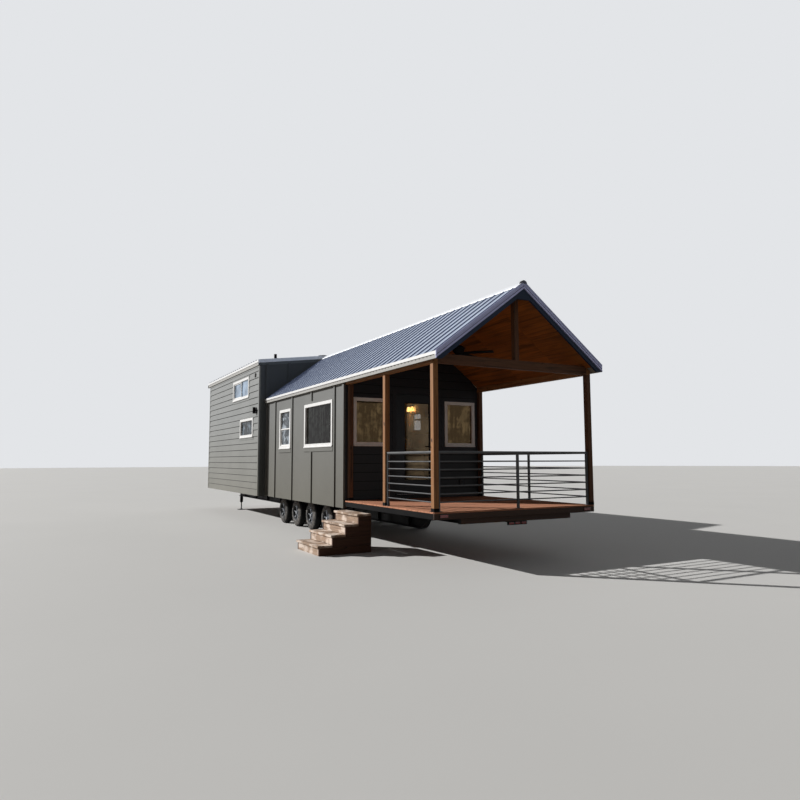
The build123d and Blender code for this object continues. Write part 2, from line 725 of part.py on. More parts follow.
def post_places():
    """The low corner of every post in plan: the deck's left side, its right corners and the back wall."""
    return [
        (-HALF, 0), (-HALF, SIDE_POST_Y), (-HALF + WALL_POST_INSET, PORCH_DEPTH - POST),
        (HALF - POST, 0), (HALF - POST, PORCH_DEPTH - POST),
    ]


def porch_posts():
    return group([
        block(x, x + POST, y, y + POST, POST_BOTTOM, BEAM_BOTTOM) for x, y in post_places()
    ])


def post_bases():
    low = BASE_MARGIN
    high = POST - BASE_MARGIN
    return group([
        block(x + low, x + high, y + low, y + high, DECK_TOP, POST_BOTTOM) for x, y in post_places()
    ])


def header_beams():
    """Side beams on the posts, their tops cut to the roof's slope."""
    inner = HALF - POST
    drop = SHEET_DROP + SLAB_DROP
    outline = [(-HALF, BEAM_BOTTOM), (-inner, BEAM_BOTTOM), (-inner, roof_z(inner, drop)),
               (-HALF, roof_z(HALF, drop))]
    return both(slab_xz(outline, 0, PORCH_DEPTH))


def tie_beam():
    inner = HALF - POST
    top = BEAM_BOTTOM + TIE_DEPTH
    drop = SHEET_DROP + SLAB_DROP + CEILING / ACROSS
    shoulder = (RIDGE_Z - drop - top) / SLOPE
    half = [(shoulder, top), (inner, roof_z(inner, drop)), (inner, BEAM_BOTTOM)]
    outline = half + [(-x, z) for x, z in reversed(half)]
    return slab_xz(outline, 0, POST)


def king_post():
    half = POST / 2
    drop = SHEET_DROP + SLAB_DROP + CEILING / ACROSS
    foot = BEAM_BOTTOM + TIE_DEPTH
    outline = [(-half, foot), (half, foot), (half, roof_z(half, drop)), (0, roof_z(0, drop)),
               (-half, roof_z(half, drop))]
    return slab_xz(outline, 0, POST)


def porch_ceiling():
    """Boarding under both slopes between the side beams."""
    inner = HALF - POST
    high = SHEET_DROP + SLAB_DROP
    low = high + CEILING / ACROSS
    outline = [(0, roof_z(0, high)), (-inner, roof_z(inner, high)), (-inner, roof_z(inner, low)),
               (0, roof_z(0, low))]
    start = RAKE_TRIM_THICK + RAKE_BOARD_THICK - RAKE_OVERHANG
    return both(slab_xz(outline, start, PORCH_DEPTH))


def rail_heights():
    return [DECK_TOP + RAIL_LOWEST + i * RAIL_STEP for i in range(RAIL_COUNT)]


def railing(length, posts):
    """A steel railing along Y from y = 0, with bars between square posts."""
    half = RAIL_POST / 2
    cap_low = DECK_TOP + RAIL_TOP - RAIL_CAP
    panel = block(-RAIL_CAP / 2, RAIL_CAP / 2, 0, length, cap_low, DECK_TOP + RAIL_TOP)
    for z in rail_heights():
        panel += block(-RAIL_BAR / 2, RAIL_BAR / 2, half, length - half, z - RAIL_BAR / 2, z + RAIL_BAR / 2)
    for y in posts:
        panel += block(-half, half, y - half, y + half, DECK_TOP, cap_low)
    return panel


def railing_left():
    length = SIDE_POST_Y - POST
    half = RAIL_POST / 2
    return Pos(-HALF + POST / 2, POST, 0) * railing(length, [half, length - half])


def railing_right():
    length = PORCH_DEPTH - 2 * POST
    half = RAIL_POST / 2
    return Pos(HALF - POST / 2, POST, 0) * railing(length, [half, length / 2, length - half])


def railing_front():
    length = HOUSE_WIDTH - 2 * POST
    half = RAIL_POST / 2
    panel = railing(length, [half, length / 2, length - half])
    return Pos(HALF - POST, POST / 2, 0) * Rot(0, 0, 90) * panel


# Fan

def fan_mount():
    """A downrod from the ridge of the porch ceiling, with its canopy and a lower collar."""
    drop = SHEET_DROP + SLAB_DROP + CEILING / ACROSS
    high = roof_z(FAN_CANOPY_RADIUS, drop)
    low = FAN_HUB_TOP + CLEARANCE
    rod = Pos(0, FAN_Y, (low + high) / 2) * Cylinder(FAN_ROD_RADIUS, high - low)
    canopy = Pos(0, FAN_Y, high - FAN_CANOPY_RADIUS / 2) * Cylinder(FAN_CANOPY_RADIUS, FAN_CANOPY_RADIUS)
    return rod + canopy


def fan_rotor():
    """The motor housing with its blades, which turn about the downrod."""
    low = FAN_BLADE_Z - FAN_HUB_RADIUS / 4
    housing = Pos(0, FAN_Y, (low + FAN_HUB_TOP) / 2) * Cylinder(FAN_HUB_RADIUS, FAN_HUB_TOP - low)
    for i in range(FAN_BLADES):
        middle = Pos((FAN_RADIUS + FAN_BLADE_ROOT) / 2, 0, 0)
        blade = Box(FAN_RADIUS - FAN_BLADE_ROOT, FAN_BLADE_WIDTH, FAN_BLADE_THICK)
        blade = middle * Rot(FAN_BLADE_TWIST, 0, 0) * blade
        turn = 360 * i / FAN_BLADES + FAN_FIRST_BLADE
        housing += Pos(0, FAN_Y, FAN_BLADE_Z) * Rot(0, 0, turn) * blade
    return housing


# Steps

def step_x(i):
    return STEP_FOOT_X + i * STEP_RUN


def step_treads():
    y0 = STEP_CENTRE_Y - STEP_WIDTH / 2
    treads = [
        block(step_x(i) - STEP_NOSE, step_x(i + 1) - CLEARANCE, y0, y0 + STEP_WIDTH,
              STEP_RISE * (i + 1) - STEP_TREAD, STEP_RISE * (i + 1))
        for i in range(STEP_COUNT)
    ]
    return group(treads)


def step_risers():
    y0 = STEP_CENTRE_Y - STEP_WIDTH / 2 + STEP_BOARD
    y1 = STEP_CENTRE_Y + STEP_WIDTH / 2 - STEP_BOARD
    risers = [
        block(step_x(i), step_x(i) + STEP_BOARD, y0, y1, STEP_RISE * i, STEP_RISE * (i + 1) - STEP_TREAD)
        for i in range(STEP_COUNT)
    ]
    return group(risers)


def step_sides():
    """Two closed side boards cut to the line of the steps."""
    line = [(step_x(STEP_COUNT), 0), (step_x(0), 0)]
    for i in range(STEP_COUNT):
        under = STEP_RISE * (i + 1) - STEP_TREAD
        line += [(step_x(i), under), (step_x(i + 1), under)]
    y0 = STEP_CENTRE_Y - STEP_WIDTH / 2
    near = slab_xz(line, y0, y0 + STEP_BOARD)
    far = Pos(0, STEP_WIDTH - STEP_BOARD, 0) * slab_xz(line, y0, y0 + STEP_BOARD)
    return group([near, far])


# Lights

def tail_lights():
    width, depth, height = TAIL_LIGHT
    lamp = Pos(TAIL_LIGHT_INSET - HALF, -depth / 2, TAIL_LIGHT_Z) * Box(width, depth, height)
    bar_width, bar_depth, bar_height = CENTRE_LIGHT
    bar_y = MAIN_RAIL_START_Y - FRONT_BEAM_THICK + bar_depth / 2
    bar = Pos(0, bar_y, RAIL_NOSE_LOW - bar_height / 2) * Box(bar_width, bar_depth, bar_height)
    return group([both(lamp), bar])


def wall_sconces():
    """Outside lamps near the rear section's front corners, and the kitchen's lamp."""
    lamp_x = -REAR_HALF - SCONCE_REACH + SCONCE_RADIUS
    place = Pos(0, SCONCE_Y, SCONCE_Z)
    plate = Pos(-REAR_HALF - SCONCE_PLATE[0] / 2, 0, 0) * Box(*SCONCE_PLATE)
    arm = Pos((lamp_x - REAR_HALF) / 2, 0, 0) * Box(-REAR_HALF - lamp_x, SCONCE_ARM, SCONCE_ARM)
    lamp = Pos(lamp_x, 0, 0) * Cylinder(SCONCE_RADIUS, SCONCE_HEIGHT)
    return group([both(place * (plate + arm + lamp)), kitchen_lamp()])


# Kitchen

def kitchen_counter():
    """Base cabinets with a recessed foot and an overhanging top, along the right wall."""
    y0, y1 = along(PORCH_DEPTH, COUNTER)
    back = HALF - WALL
    front = back - COUNTER_DEPTH
    high = FLOOR_TOP + COUNTER_HEIGHT
    low = high - COUNTER_TOP_THICK
    recess, foot = TOE_KICK
    counter = block(front + COUNTER_NOSE, back, y0 + COUNTER_NOSE, y1 - COUNTER_NOSE, FLOOR_TOP + foot, low)
    counter += block(front + COUNTER_NOSE + recess, back, y0 + COUNTER_NOSE, y1 - COUNTER_NOSE,
                     FLOOR_TOP, FLOOR_TOP + foot)
    counter += block(front, back, y0, y1, low, high)
    return counter


def kitchen_faucet():
    """A gooseneck tap: a riser, a half ring and a short drop at its end."""
    radius = FAUCET_REACH / 2
    base = FLOOR_TOP + COUNTER_HEIGHT
    bend = base + FAUCET_HEIGHT - radius - FAUCET_TUBE
    wide, tall = FAUCET_BASE
    foot = Pos(FAUCET_X, FAUCET_Y, base + tall / 2) * Cylinder(wide, tall)
    riser = Pos(FAUCET_X, FAUCET_Y, (base + bend) / 2) * Cylinder(FAUCET_TUBE, bend - base)
    ring = Rot(90, 0, 0) * Torus(radius, FAUCET_TUBE, major_angle=180)
    ring = Pos(FAUCET_X - radius, FAUCET_Y, bend) * ring
    spout = Cylinder(FAUCET_TUBE, FAUCET_SPOUT)
    drop = Pos(FAUCET_X - FAUCET_REACH, FAUCET_Y, bend - FAUCET_SPOUT / 2) * spout
    return foot + riser + ring + drop


def kitchen_lamp():
    """A bar on the right wall over the counter with two hanging glass shades."""
    wall = HALF - WALL
    half = KITCHEN_LAMP_SPAN / 2
    thick = KITCHEN_LAMP_BAR
    lamp_x = wall - KITCHEN_LAMP_REACH + SHADE_RADIUS
    bar = block(lamp_x - thick / 2, lamp_x + thick / 2, KITCHEN_LAMP_Y - half, KITCHEN_LAMP_Y + half,
                KITCHEN_LAMP_Z, KITCHEN_LAMP_Z + thick)
    bar += block(lamp_x, wall, KITCHEN_LAMP_Y - thick, KITCHEN_LAMP_Y + thick,
                 KITCHEN_LAMP_Z, KITCHEN_LAMP_Z + thick)
    for side in (-1, 1):
        place = Pos(lamp_x, KITCHEN_LAMP_Y + side * SHADE_SPACING / 2, KITCHEN_LAMP_Z - SHADE_HEIGHT / 2)
        bar += place * Cylinder(SHADE_RADIUS, SHADE_HEIGHT)
    return bar


def pieces():
    """Every named piece, in the house frame."""
    found = {
        "floor_main": floor_main(), "floor_rear": floor_rear(), "porch_deck": porch_deck(),
        "deck_side_rims": deck_side_rims(), "deck_fascia": deck_fascia(),
        "cross_members": cross_members(), "main_rails": main_rails(),
        "running_gear": running_gear(), "rear_jacks": rear_jacks(),
        "wall_left": main_side_wall(left_windows()),
        "wall_right": mirrored(main_side_wall(right_windows())),
        "front_wall_left": front_wall(-1), "front_wall_right": front_wall(1),
        "front_wall_over_door": front_wall_over_door(),
        "dormer_wall_left": dormer_wall(-1), "dormer_wall_right": dormer_wall(1),
        "rear_wall_left": rear_side_wall(rear_windows()),
        "rear_wall_right": mirrored(rear_side_wall(rear_windows())),
        "rear_end_wall": rear_end_wall(),
        "window_frames": window_frames(), "window_glass": window_glass(),
        "door_frame": door_frame(), "door_panel": door_panel(), "door_glass": door_glass(),
        "main_roof_left": main_roof(-1), "main_roof_right": main_roof(1),
        "roof_sheets": roof_sheets(), "ridge_cap": ridge_cap(), "rake_trim": rake_trim(),
        "rake_boards": rake_boards(), "eave_trims": eave_trims(),
        "rear_roof_left": rear_roof(-1), "rear_roof_right": rear_roof(1), "roof_vent": roof_vent(),
        "porch_posts": porch_posts(), "post_bases": post_bases(), "header_beams": header_beams(),
        "tie_beam": tie_beam(), "king_post": king_post(), "porch_ceiling": porch_ceiling(),
        "railing_left": railing_left(), "railing_front": railing_front(),
        "railing_right": railing_right(), "fan_mount": fan_mount(), "fan_rotor": fan_rotor(),
        "step_treads": step_treads(), "step_risers": step_risers(), "step_sides": step_sides(),
        "kitchen_counter": kitchen_counter(), "kitchen_faucet": kitchen_faucet(),
        "tail_lights": tail_lights(), "wall_sconces": wall_sconces(),
    }
    for number, y in enumerate(axle_places(), start=1):
        found[f"wheel_left_{number}"] = wheel(-1, y)
        found[f"wheel_right_{number}"] = wheel(1, y)
    return found


# The model's origin is on the ground under the middle of the whole outline.
SIDE_REACH = REAR_HALF + SCONCE_REACH
ORIGIN = Pos((LEFT_REACH - SIDE_REACH) / 2, -(FRONT_REACH + REAR_REACH) / 2, 0)

if __name__ == "__main__":
    os.makedirs("parts", exist_ok=True)
    for name, shape in pieces().items():
        export_step(ORIGIN * shape, f"parts/{name}.step")
    print("moved by", tuple(ORIGIN.position))
    print("door hinge", tuple((ORIGIN * Pos(HINGE_X, HINGE_Y, 0)).position))
    print("fan axis", tuple((ORIGIN * Pos(0, FAN_Y, FAN_BLADE_Z)).position))
    for y in axle_places():
        print("axle", tuple((ORIGIN * Pos(0, y, TYRE_RADIUS)).position))
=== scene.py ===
"""The looks of the tiny house on wheels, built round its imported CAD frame.

Places are worked out in the house's own frame, in metres: X across from the centre line, Y from the
porch posts' front faces to the rear, Z up from the ground. SHIFT then moves a finished mesh into the
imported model's frame.
"""

import bpy
import bmesh
import numpy as np
from mathutils import Matrix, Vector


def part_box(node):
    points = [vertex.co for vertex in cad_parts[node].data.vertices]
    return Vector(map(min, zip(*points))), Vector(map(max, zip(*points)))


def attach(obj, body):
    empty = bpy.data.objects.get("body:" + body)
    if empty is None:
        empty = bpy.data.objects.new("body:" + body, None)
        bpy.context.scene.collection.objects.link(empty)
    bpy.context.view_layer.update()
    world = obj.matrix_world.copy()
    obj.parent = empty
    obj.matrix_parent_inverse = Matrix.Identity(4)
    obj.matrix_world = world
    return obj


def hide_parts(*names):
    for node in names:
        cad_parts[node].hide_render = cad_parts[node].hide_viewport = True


bl_info = {
    "name": "Tiny house on wheels",
    "version": (1, 0, 0),
    "blender": (4, 5, 0),
    "location": "View3D > Sidebar > House",
    "description": "Builds the siding, roof, porch, trailer and stage of a tiny house on wheels",
    "category": "Object",
}

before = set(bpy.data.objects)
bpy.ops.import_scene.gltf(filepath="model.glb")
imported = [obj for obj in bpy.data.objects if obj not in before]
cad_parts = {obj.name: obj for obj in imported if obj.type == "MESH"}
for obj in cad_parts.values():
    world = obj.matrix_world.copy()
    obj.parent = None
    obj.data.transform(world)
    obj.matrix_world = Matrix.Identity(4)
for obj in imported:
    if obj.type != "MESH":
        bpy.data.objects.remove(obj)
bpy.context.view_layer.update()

# The house's own frame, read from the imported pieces
DECK_LOW, DECK_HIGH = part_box("porch_deck")
MAIN_LOW, MAIN_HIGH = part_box("floor_main")
REAR_LOW, REAR_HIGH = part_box("floor_rear")
SHIFT = np.array([(DECK_LOW.x + DECK_HIGH.x) / 2, DECK_LOW.y, 0.0])
HALF = (MAIN_HIGH.x - MAIN_LOW.x) / 2
REAR_HALF = (REAR_HIGH.x - REAR_LOW.x) / 2
PORCH = MAIN_LOW.y - SHIFT[1]
REAR = REAR_LOW.y - SHIFT[1]
END = REAR_HIGH.y - SHIFT[1]
DECK = DECK_HIGH.z
FLOOR = MAIN_HIGH.z
BELLY = MAIN_LOW.z

# Roofs
SLOPE = np.tan(np.radians(36.7))
ACROSS = np.cos(np.radians(36.7))
EAVE_X = HALF + 0.076
EAVE_Z = 3.227
RIDGE_Z = EAVE_Z + EAVE_X * SLOPE
RAKE_Y = -0.219
SHEET_DROP = 0.004 / ACROSS
SLAB_DROP = 0.094 / ACROSS
RIB_PITCH = 0.247
REAR_SLOPE = np.tan(np.radians(7.2))
REAR_EAVE_X = REAR_HALF + 0.054
REAR_EAVE_Z = 4.301
REAR_RIDGE_Z = REAR_EAVE_Z + REAR_EAVE_X * REAR_SLOPE
REAR_ROOF = 0.150
REAR_ROOF_END = END + 0.200

# Each wall: a point at the foot of its outer face, the way across it seen from outside, and the way out
WALLS = {
    "left": ((-HALF, 0, 0), (0, -1, 0), (-1, 0, 0)),
    "right": ((HALF, 0, 0), (0, 1, 0), (1, 0, 0)),
    "porch": ((0, PORCH, 0), (1, 0, 0), (0, -1, 0)),
    "rear_left": ((-REAR_HALF, 0, 0), (0, -1, 0), (-1, 0, 0)),
    "rear_right": ((REAR_HALF, 0, 0), (0, 1, 0), (1, 0, 0)),
    "rear_front": ((0, REAR, 0), (1, 0, 0), (0, -1, 0)),
    "end": ((0, END, 0), (-1, 0, 0), (0, 1, 0)),
}
# Each window: its wall, its two ends along the wall's own axis, its sill and head, and its kind
WINDOWS = [
    ("porch", -1.43, -0.70, 1.925, 2.840, "fixed"),
    ("porch", 0.70, 1.43, 1.925, 2.840, "fixed"),
    ("left", -5.515, -3.915, 1.925, 2.840, "picture"),
    ("left", -7.290, -6.495, 1.925, 2.840, "hung"),
    ("right", 3.915, 5.515, 1.925, 2.840, "picture"),
    ("right", 5.700, 6.300, 2.330, 2.840, "fixed"),
    ("rear_left", -11.180, -9.480, 3.400, 3.945, "slider"),
    ("rear_left", -10.300, -9.010, 2.280, 2.765, "fixed"),
    ("rear_right", 9.480, 11.180, 3.400, 3.945, "slider"),
    ("rear_right", 9.010, 10.300, 2.280, 2.765, "fixed"),
    ("end", -0.450, 0.450, 3.400, 3.945, "slider"),
    ("end", -0.450, 0.450, 2.280, 2.765, "fixed"),
]
DOOR_HALF = 0.482
DOOR_HEAD = 2.998
LAP = 0.175
SIDING_FOOT = 0.690
CORNER = 0.09
PANEL = 0.008
BOARD_EDGE = 0.02
CASING = 0.018
BATTENS = (7.672, 6.373, 5.097, 3.792)
DORMER_INNER = 0.203

# Porch timber
POST = 0.089
MIDDLE_POST_END = 1.590
BEAM_LOW = 3.095
CEILING_DROP = 0.112 / ACROSS
RIB_RISE = 0.019 / ACROSS

# Trailer
AXLES = [5.095 + 0.990 * n for n in range(4)]
WHEEL_RADIUS = 0.335
WHEEL_FACE = 1.280
TYRE_WIDTH = 0.205
RAIL_X = 1.0
RAIL_LOW = BELLY - 0.255
RAIL_START, RAIL_END = 0.140, 13.350
NOSE_LOW = 0.633


def roof_z(x, drop=0.0):
    """Height of the main roof's pans over x."""
    return RIDGE_Z - SLOPE * np.abs(x) - drop


def rear_z(x, drop=0.0):
    """Height of the rear roof over x."""
    return REAR_RIDGE_Z - REAR_SLOPE * np.abs(x) - drop


def soffit_z(x):
    """Height of the rear roof's underside over x."""
    return rear_z(x, REAR_ROOF)


# Sizes and colours that a user would change


def shade(title, about, colour):
    """A colour setting, written as sRGB hex."""
    return bpy.props.StringProperty(name=title, description=about, default=colour)


def length(title, about, value):
    """A length setting in metres."""
    return bpy.props.FloatProperty(name=title, description=about, default=value, unit="LENGTH")


class HouseColours(bpy.types.PropertyGroup):
    """Paints, stains and metals, as sRGB hex."""

    siding: shade("Siding", "Grey paint of the panels and battens", "#6d6d6a")
    lap: shade("Lap siding", "Paint of the rear section's laps", "#80817f")
    # The porch wall is darker than the siding partly as painted shade under the porch roof.
    porch_wall: shade("Porch wall", "Darker paint of the wall behind the porch", "#27282b")
    # The dormer paint is darker than the siding partly as painted shade on these front faces.
    dormer: shade("Dormer", "Blue-grey paint of the panels over the main roof", "#575b5d")
    timber: shade("Timber", "Pale wood of the oiled posts and beams", "#b37e50")
    timber_dark: shade("Timber grain", "Dark grain of the posts and beams", "#74482b")
    # This darker timber is painted shade: the oiled wood of the tie beam, king post and shaded posts.
    stained: shade("Stained timber", "Dark stain of the tie beam and of the timber by the wall", "#745039")
    ceiling: shade("Ceiling", "Stained plywood under the porch roof", "#ac652a")
    deck: shade("Deck", "Oiled deck boards", "#e8a685")
    # The deck edge's dark colour is the timber darkened as painted shade on its front.
    fascia: shade("Deck edge", "Stained boards along the deck's front", "#3d281b")
    steps: shade("Steps", "Bare softwood of the treads and risers", "#bfa28b")
    # The step sides are the treads' wood darkened as painted shade.
    steps_side: shade("Step sides", "Stained side boards of the steps", "#593a2b")
    roof: shade("Roof", "Coated steel of the roof's pans", "#aeb9cc")
    roof_rib: shade("Roof ribs", "The shaded flanks of the ribs", "#455170")
    cap: shade("Ridge cap", "Pale folded steel of the ridge", "#e6e8ec")
    rake: shade("Rake trim", "Grey trim along the gables", "#9597b8")
    # The gable boards' dark blue is the siding paint darkened as painted shade.
    gable: shade("Gable boards", "Blue-grey paint of the gable boards", "#232f42")
    white: shade("White trim", "Eave trim and window frames", "#edecea")
    trim_grey: shade("Grey trim", "Lower band of the eave trims", "#9d9a94")
    steel: shade("Black steel", "Trailer and fittings", "#121213")
    railing: shade("Railings", "Satin paint of the railings", "#2d2e30")


class HouseSizes(bpy.types.PropertyGroup):
    """Sizes of what is laid over the CAD walls."""

    batten_width: length("Batten width", "Width of the strips over the panel joints", 0.064)
    batten_thick: length("Batten thickness", "How far a batten stands out", 0.026)
    lap_butt: length("Lap butt", "Thickness of a lap board's lower edge", 0.022)
    board: length("Deck board", "Width of one deck board", 0.137)


def colours():
    return bpy.context.scene.house_colours


def sizes():
    return bpy.context.scene.house_sizes


# Surfaces, as whole arrays of points and faces. Each is a pair: points[n, 3] and a list of faces.

SIDES = np.array([[0, 3, 2, 1], [4, 5, 6, 7], [0, 1, 5, 4], [1, 2, 6, 5], [2, 3, 7, 6], [3, 0, 4, 7]])
CORNERS = np.array([[0, 1, 1, 0, 0, 1, 1, 0], [2, 2, 3, 3, 2, 2, 3, 3], [4, 4, 4, 4, 5, 5, 5, 5]])


def hexes(corners):
    """Six-sided blocks from corners[n, 8, 3]: a ring of four and the ring over it, turned to face out.

    The sign of the box product of three edges at the first corner says which way round a block is.
    """
    c = np.array(corners, float).reshape(-1, 8, 3)
    turn = np.einsum("ij,ij->i", np.cross(c[:, 1] - c[:, 0], c[:, 3] - c[:, 0]), c[:, 4] - c[:, 0])
    c[turn < 0] = c[turn < 0][:, [0, 3, 2, 1, 4, 7, 6, 5]]
    faces = 8 * np.arange(len(c))[:, None, None] + SIDES[None]
    return c.reshape(-1, 3), faces.reshape(-1, 4).tolist(), np.repeat(np.arange(len(c)), 8)


def boxes(spans):
    """Upright boxes from rows x0, x1, y0, y1, z0, z1."""
    return hexes(np.moveaxis(np.array(spans, float).reshape(-1, 6)[:, CORNERS], 1, 2))


def on_wall(wall, u, z, out):
    """Points of a wall: u across it, z up and out from its outer face, as arrays of one shape."""
    foot, across, outward = (np.array(v, float) for v in WALLS[wall])
    u, z, out = np.broadcast_arrays(np.asarray(u, float), z, out)
    points = foot + u[..., None] * across + out[..., None] * outward
    points[..., 2] = z
    return points


def wall_boxes(wall, rows):
    """Boxes on a wall from rows u0, u1, z0, z1, out0, out1."""
    spans = np.array(rows, float).reshape(-1, 6)[:, [0, 1, 4, 5, 2, 3]]
    u, out, z = np.moveaxis(spans[:, CORNERS], 1, 0)
    return hexes(on_wall(wall, u, z, out))


def sloped(wall, u0, u1, low, high, out0, out1):
    """A block on a wall whose foot and head follow low(u) and high(u)."""
    u = np.array([u0, u1, u1, u0])
    z = np.concatenate([low(u) + 0 * u, high(u) + 0 * u])
    return hexes(on_wall(wall, np.tile(u, 2), z, [out0, out0, out1, out1] * 2))


def lathe(profile, origin, axis, steps=32):
    """A closed profile[m, 2] of distance along an axis and radius, carried round that axis."""
    p = np.array(profile, float)
    t = np.linspace(0, 2 * np.pi, steps, endpoint=False)
    along, radius = np.broadcast_arrays(p[:, None, 0], p[:, None, 1] + 0 * t)
    ring = np.stack([along, radius * np.cos(t), radius * np.sin(t)], axis=2)
    order = {"x": [0, 1, 2], "y": [1, 0, 2], "z": [1, 2, 0]}[axis]
    return facing_out(ring[..., order].reshape(-1, 3) + np.array(origin, float), grid(len(p), steps))


def grid(rows, columns, wrap_rows=True, wrap_columns=True):
    """Quads of a grid of points, closed in either direction."""
    i = np.arange(rows if wrap_rows else rows - 1)[:, None]
    j = np.arange(columns if wrap_columns else columns - 1)[None, :]
    down, right = (i + 1) % rows, (j + 1) % columns
    quads = np.stack(np.broadcast_arrays(i * columns + j, i * columns + right, down * columns + right,
                                         down * columns + j), axis=2)
    return quads.reshape(-1, 4).tolist()


def facing_out(points, faces):
    """The same closed surface with its faces turned outwards, by the sign of its quads' volume."""
    a, b, c, d = np.moveaxis(points[np.array([f for f in faces if len(f) == 4])] - points.mean(axis=0), 1, 0)
    volume = np.einsum("ij,ij->", a, np.cross(b, c)) + np.einsum("ij,ij->", a, np.cross(c, d))
    if volume < 0:
        faces = [face[::-1] for face in faces]
    return points, faces, np.zeros(len(points), int)


def tube(rings):
    """A closed surface through rings[n, m, 3] of points, with its two ends closed."""
    n, m = rings.shape[:2]
    ends = [list(range(m))[::-1], list(range((n - 1) * m, n * m))]
    return facing_out(rings.reshape(-1, 3), grid(n, m, False) + ends)


def sweep(path, section, up=(0, 0, 1)):
    """A closed section[m, 2] carried along path[n, 3]: first number sideways, second along up."""
    p, s, up = np.array(path, float), np.array(section, float), np.array(up, float)
    along = np.gradient(p, axis=0)
    side = np.cross(along, up)
    side /= np.linalg.norm(side, axis=1)[:, None]
    high = np.cross(side, along)
    high /= np.linalg.norm(high, axis=1)[:, None]
    return tube(p[:, None] + s[None, :, :1] * side[:, None] + s[None, :, 1:] * high[:, None])


def extruded(section, y0, y1):
    """A closed section[m, 2] of X and Z, carried along Y, with its two ends closed."""
    x, z = np.array(section, float).T
    return tube(np.stack([np.stack([x, 0 * x + y, z], axis=1) for y in (y0, y1)]))


def capped(rings):
    """Like tube, but its two end faces are wound inwards; welding a piece turns them out."""
    n, m = rings.shape[:2]
    ends = [list(range(m)), list(range((n - 1) * m, n * m))[::-1]]
    return facing_out(rings.reshape(-1, 3), grid(n, m, False) + ends)


def circle(radius, steps=12):
    t = np.linspace(0, 2 * np.pi, steps, endpoint=False)
    return np.stack([radius * np.cos(t), radius * np.sin(t)], axis=1)


def bar(quad, y0, y1, side=1):
    """A block along Y with a four-cornered section of X and Z; side -1 mirrors it."""
    return hexes([[side * x, y, z] for y in (y0, y1) for x, z in quad])


def mirrored(profile, side):
    """A lathe's profile, turned the other way along its axis where side is -1."""
    return [(side * along, radius) for along, radius in profile]


def span(side, a, b):
    """Two distances from the middle as a rising pair on one side of it."""
    return sorted((side * a, side * b))


def rounded(width, height, radius, steps=3):
    """A rectangle with round corners, as a closed section."""
    t = np.linspace(0, np.pi / 2, steps)
    quarter = np.stack([np.cos(t), np.sin(t)], axis=1) * radius
    corners = []
    for k, (sx, sy) in enumerate([(1, 1), (-1, 1), (-1, -1), (1, -1)]):
        turn = np.array([[0, 1], [-1, 0]])
        arc = quarter @ np.linalg.matrix_power(turn, k)
        corners.append(arc + [sx * (width / 2 - radius), sy * (height / 2 - radius)])
    return np.vstack(corners)


def frame_ring(wall, u0, u1, z0, z1, section):
    """A mitred frame: each section point (inset, out) becomes a rectangle inset from the opening's edge."""
    inset, out = np.array(section, float).T
    u = np.stack([u0 + inset, u1 - inset, u1 - inset, u0 + inset], axis=0)
    z = np.stack([z0 + inset, z0 + inset, z1 - inset, z1 - inset], axis=0)
    points = on_wall(wall, u, z, np.broadcast_to(out, u.shape))
    return facing_out(points.reshape(-1, 3), grid(4, len(inset)))


def around(u0, u1, z0, z1, holes):
    """Rectangles that cover u0..u1 by z0..z1 apart from the holes, cut along the holes' edges."""
    us = sorted({u0, u1, *(min(max(h, u0), u1) for hole in holes for h in hole[:2])})
    zs = sorted({z0, z1, *(min(max(h, z0), z1) for hole in holes for h in hole[2:])})
    found = []
    for a, b in zip(us, us[1:]):
        for c, d in zip(zs, zs[1:]):
            u, z = (a + b) / 2, (c + d) / 2
            if not any(h[0] < u < h[1] and h[2] < z < h[3] for h in holes):
                found.append((a, b, c, d))
    return found


def holes_in(wall):
    """The openings of a wall, for the siding to go round."""
    found = [w[1:5] for w in WINDOWS if w[0] == wall]
    if wall == "porch":
        found.append((-DOOR_HALF, DOOR_HALF, 0.0, DOOR_HEAD))
    return found


def casing_boards(outlines, holes, foot=0.0):
    """Rows for wall_boxes: the boards between each outline and its hole, from foot up."""
    return [(*r, 0, CASING) for (a, b, c, d), hole in zip(outlines, holes)
            for r in around(a, b, max(c, foot), d, [hole])]


def piece(name, parts, material, body="house", replaces=(), bevel=0.0, smooth=0.0, weld=False):
    """One object from surfaces in the house's frame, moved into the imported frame.

    Each point keeps the number of the board it belongs to, as a random value in the attribute "board".
    """
    points, faces, boards, offset, count = [], [], [], 0, 0
    for part_points, part_faces, part_boards in parts:
        points.append(part_points)
        faces += [[i + offset for i in face] for face in part_faces]
        boards.append(part_boards + count)
        offset += len(part_points)
        count += int(part_boards.max()) + 1
    mesh = bpy.data.meshes.new(name)
    mesh.from_pydata((np.vstack(points) + SHIFT).tolist(), [], faces)
    luck = np.random.default_rng(len(name)).random(count)
    values = luck[np.concatenate(boards)].astype(np.float32)
    mesh.attributes.new("board", "FLOAT", "POINT").data.foreach_set("value", values)
    if weld:
        made = bmesh.new()
        made.from_mesh(mesh)
        bmesh.ops.remove_doubles(made, verts=made.verts, dist=1e-6)
        bmesh.ops.recalc_face_normals(made, faces=made.faces)
        made.to_mesh(mesh)
        made.free()
    if smooth:
        mesh.polygons.foreach_set("use_smooth", np.ones(len(mesh.polygons), bool))
        mesh.set_sharp_from_angle(angle=np.radians(smooth))
    mesh.materials.append(material)
    made = bpy.data.objects.new(name, mesh)
    bpy.context.scene.collection.objects.link(made)
    if bevel:
        cut = made.modifiers.new("edges", "BEVEL")
        cut.width = bevel
        cut.segments = 2
        cut.limit_method = "ANGLE"
    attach(made, body)
    if replaces:
        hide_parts(*replaces)
    return made


# Materials

BLACK, WHITE, LENS = "#000000", "#ffffff", "#8c1f18"


def linear(colour):
    """An sRGB hex colour as linear red, green, blue and alpha."""
    c = np.array([int(colour[i:i + 2], 16) for i in (1, 3, 5)]) / 255
    return (*np.where(c <= 0.04045, c / 12.92, ((c + 0.055) / 1.055) ** 2.4), 1.0)


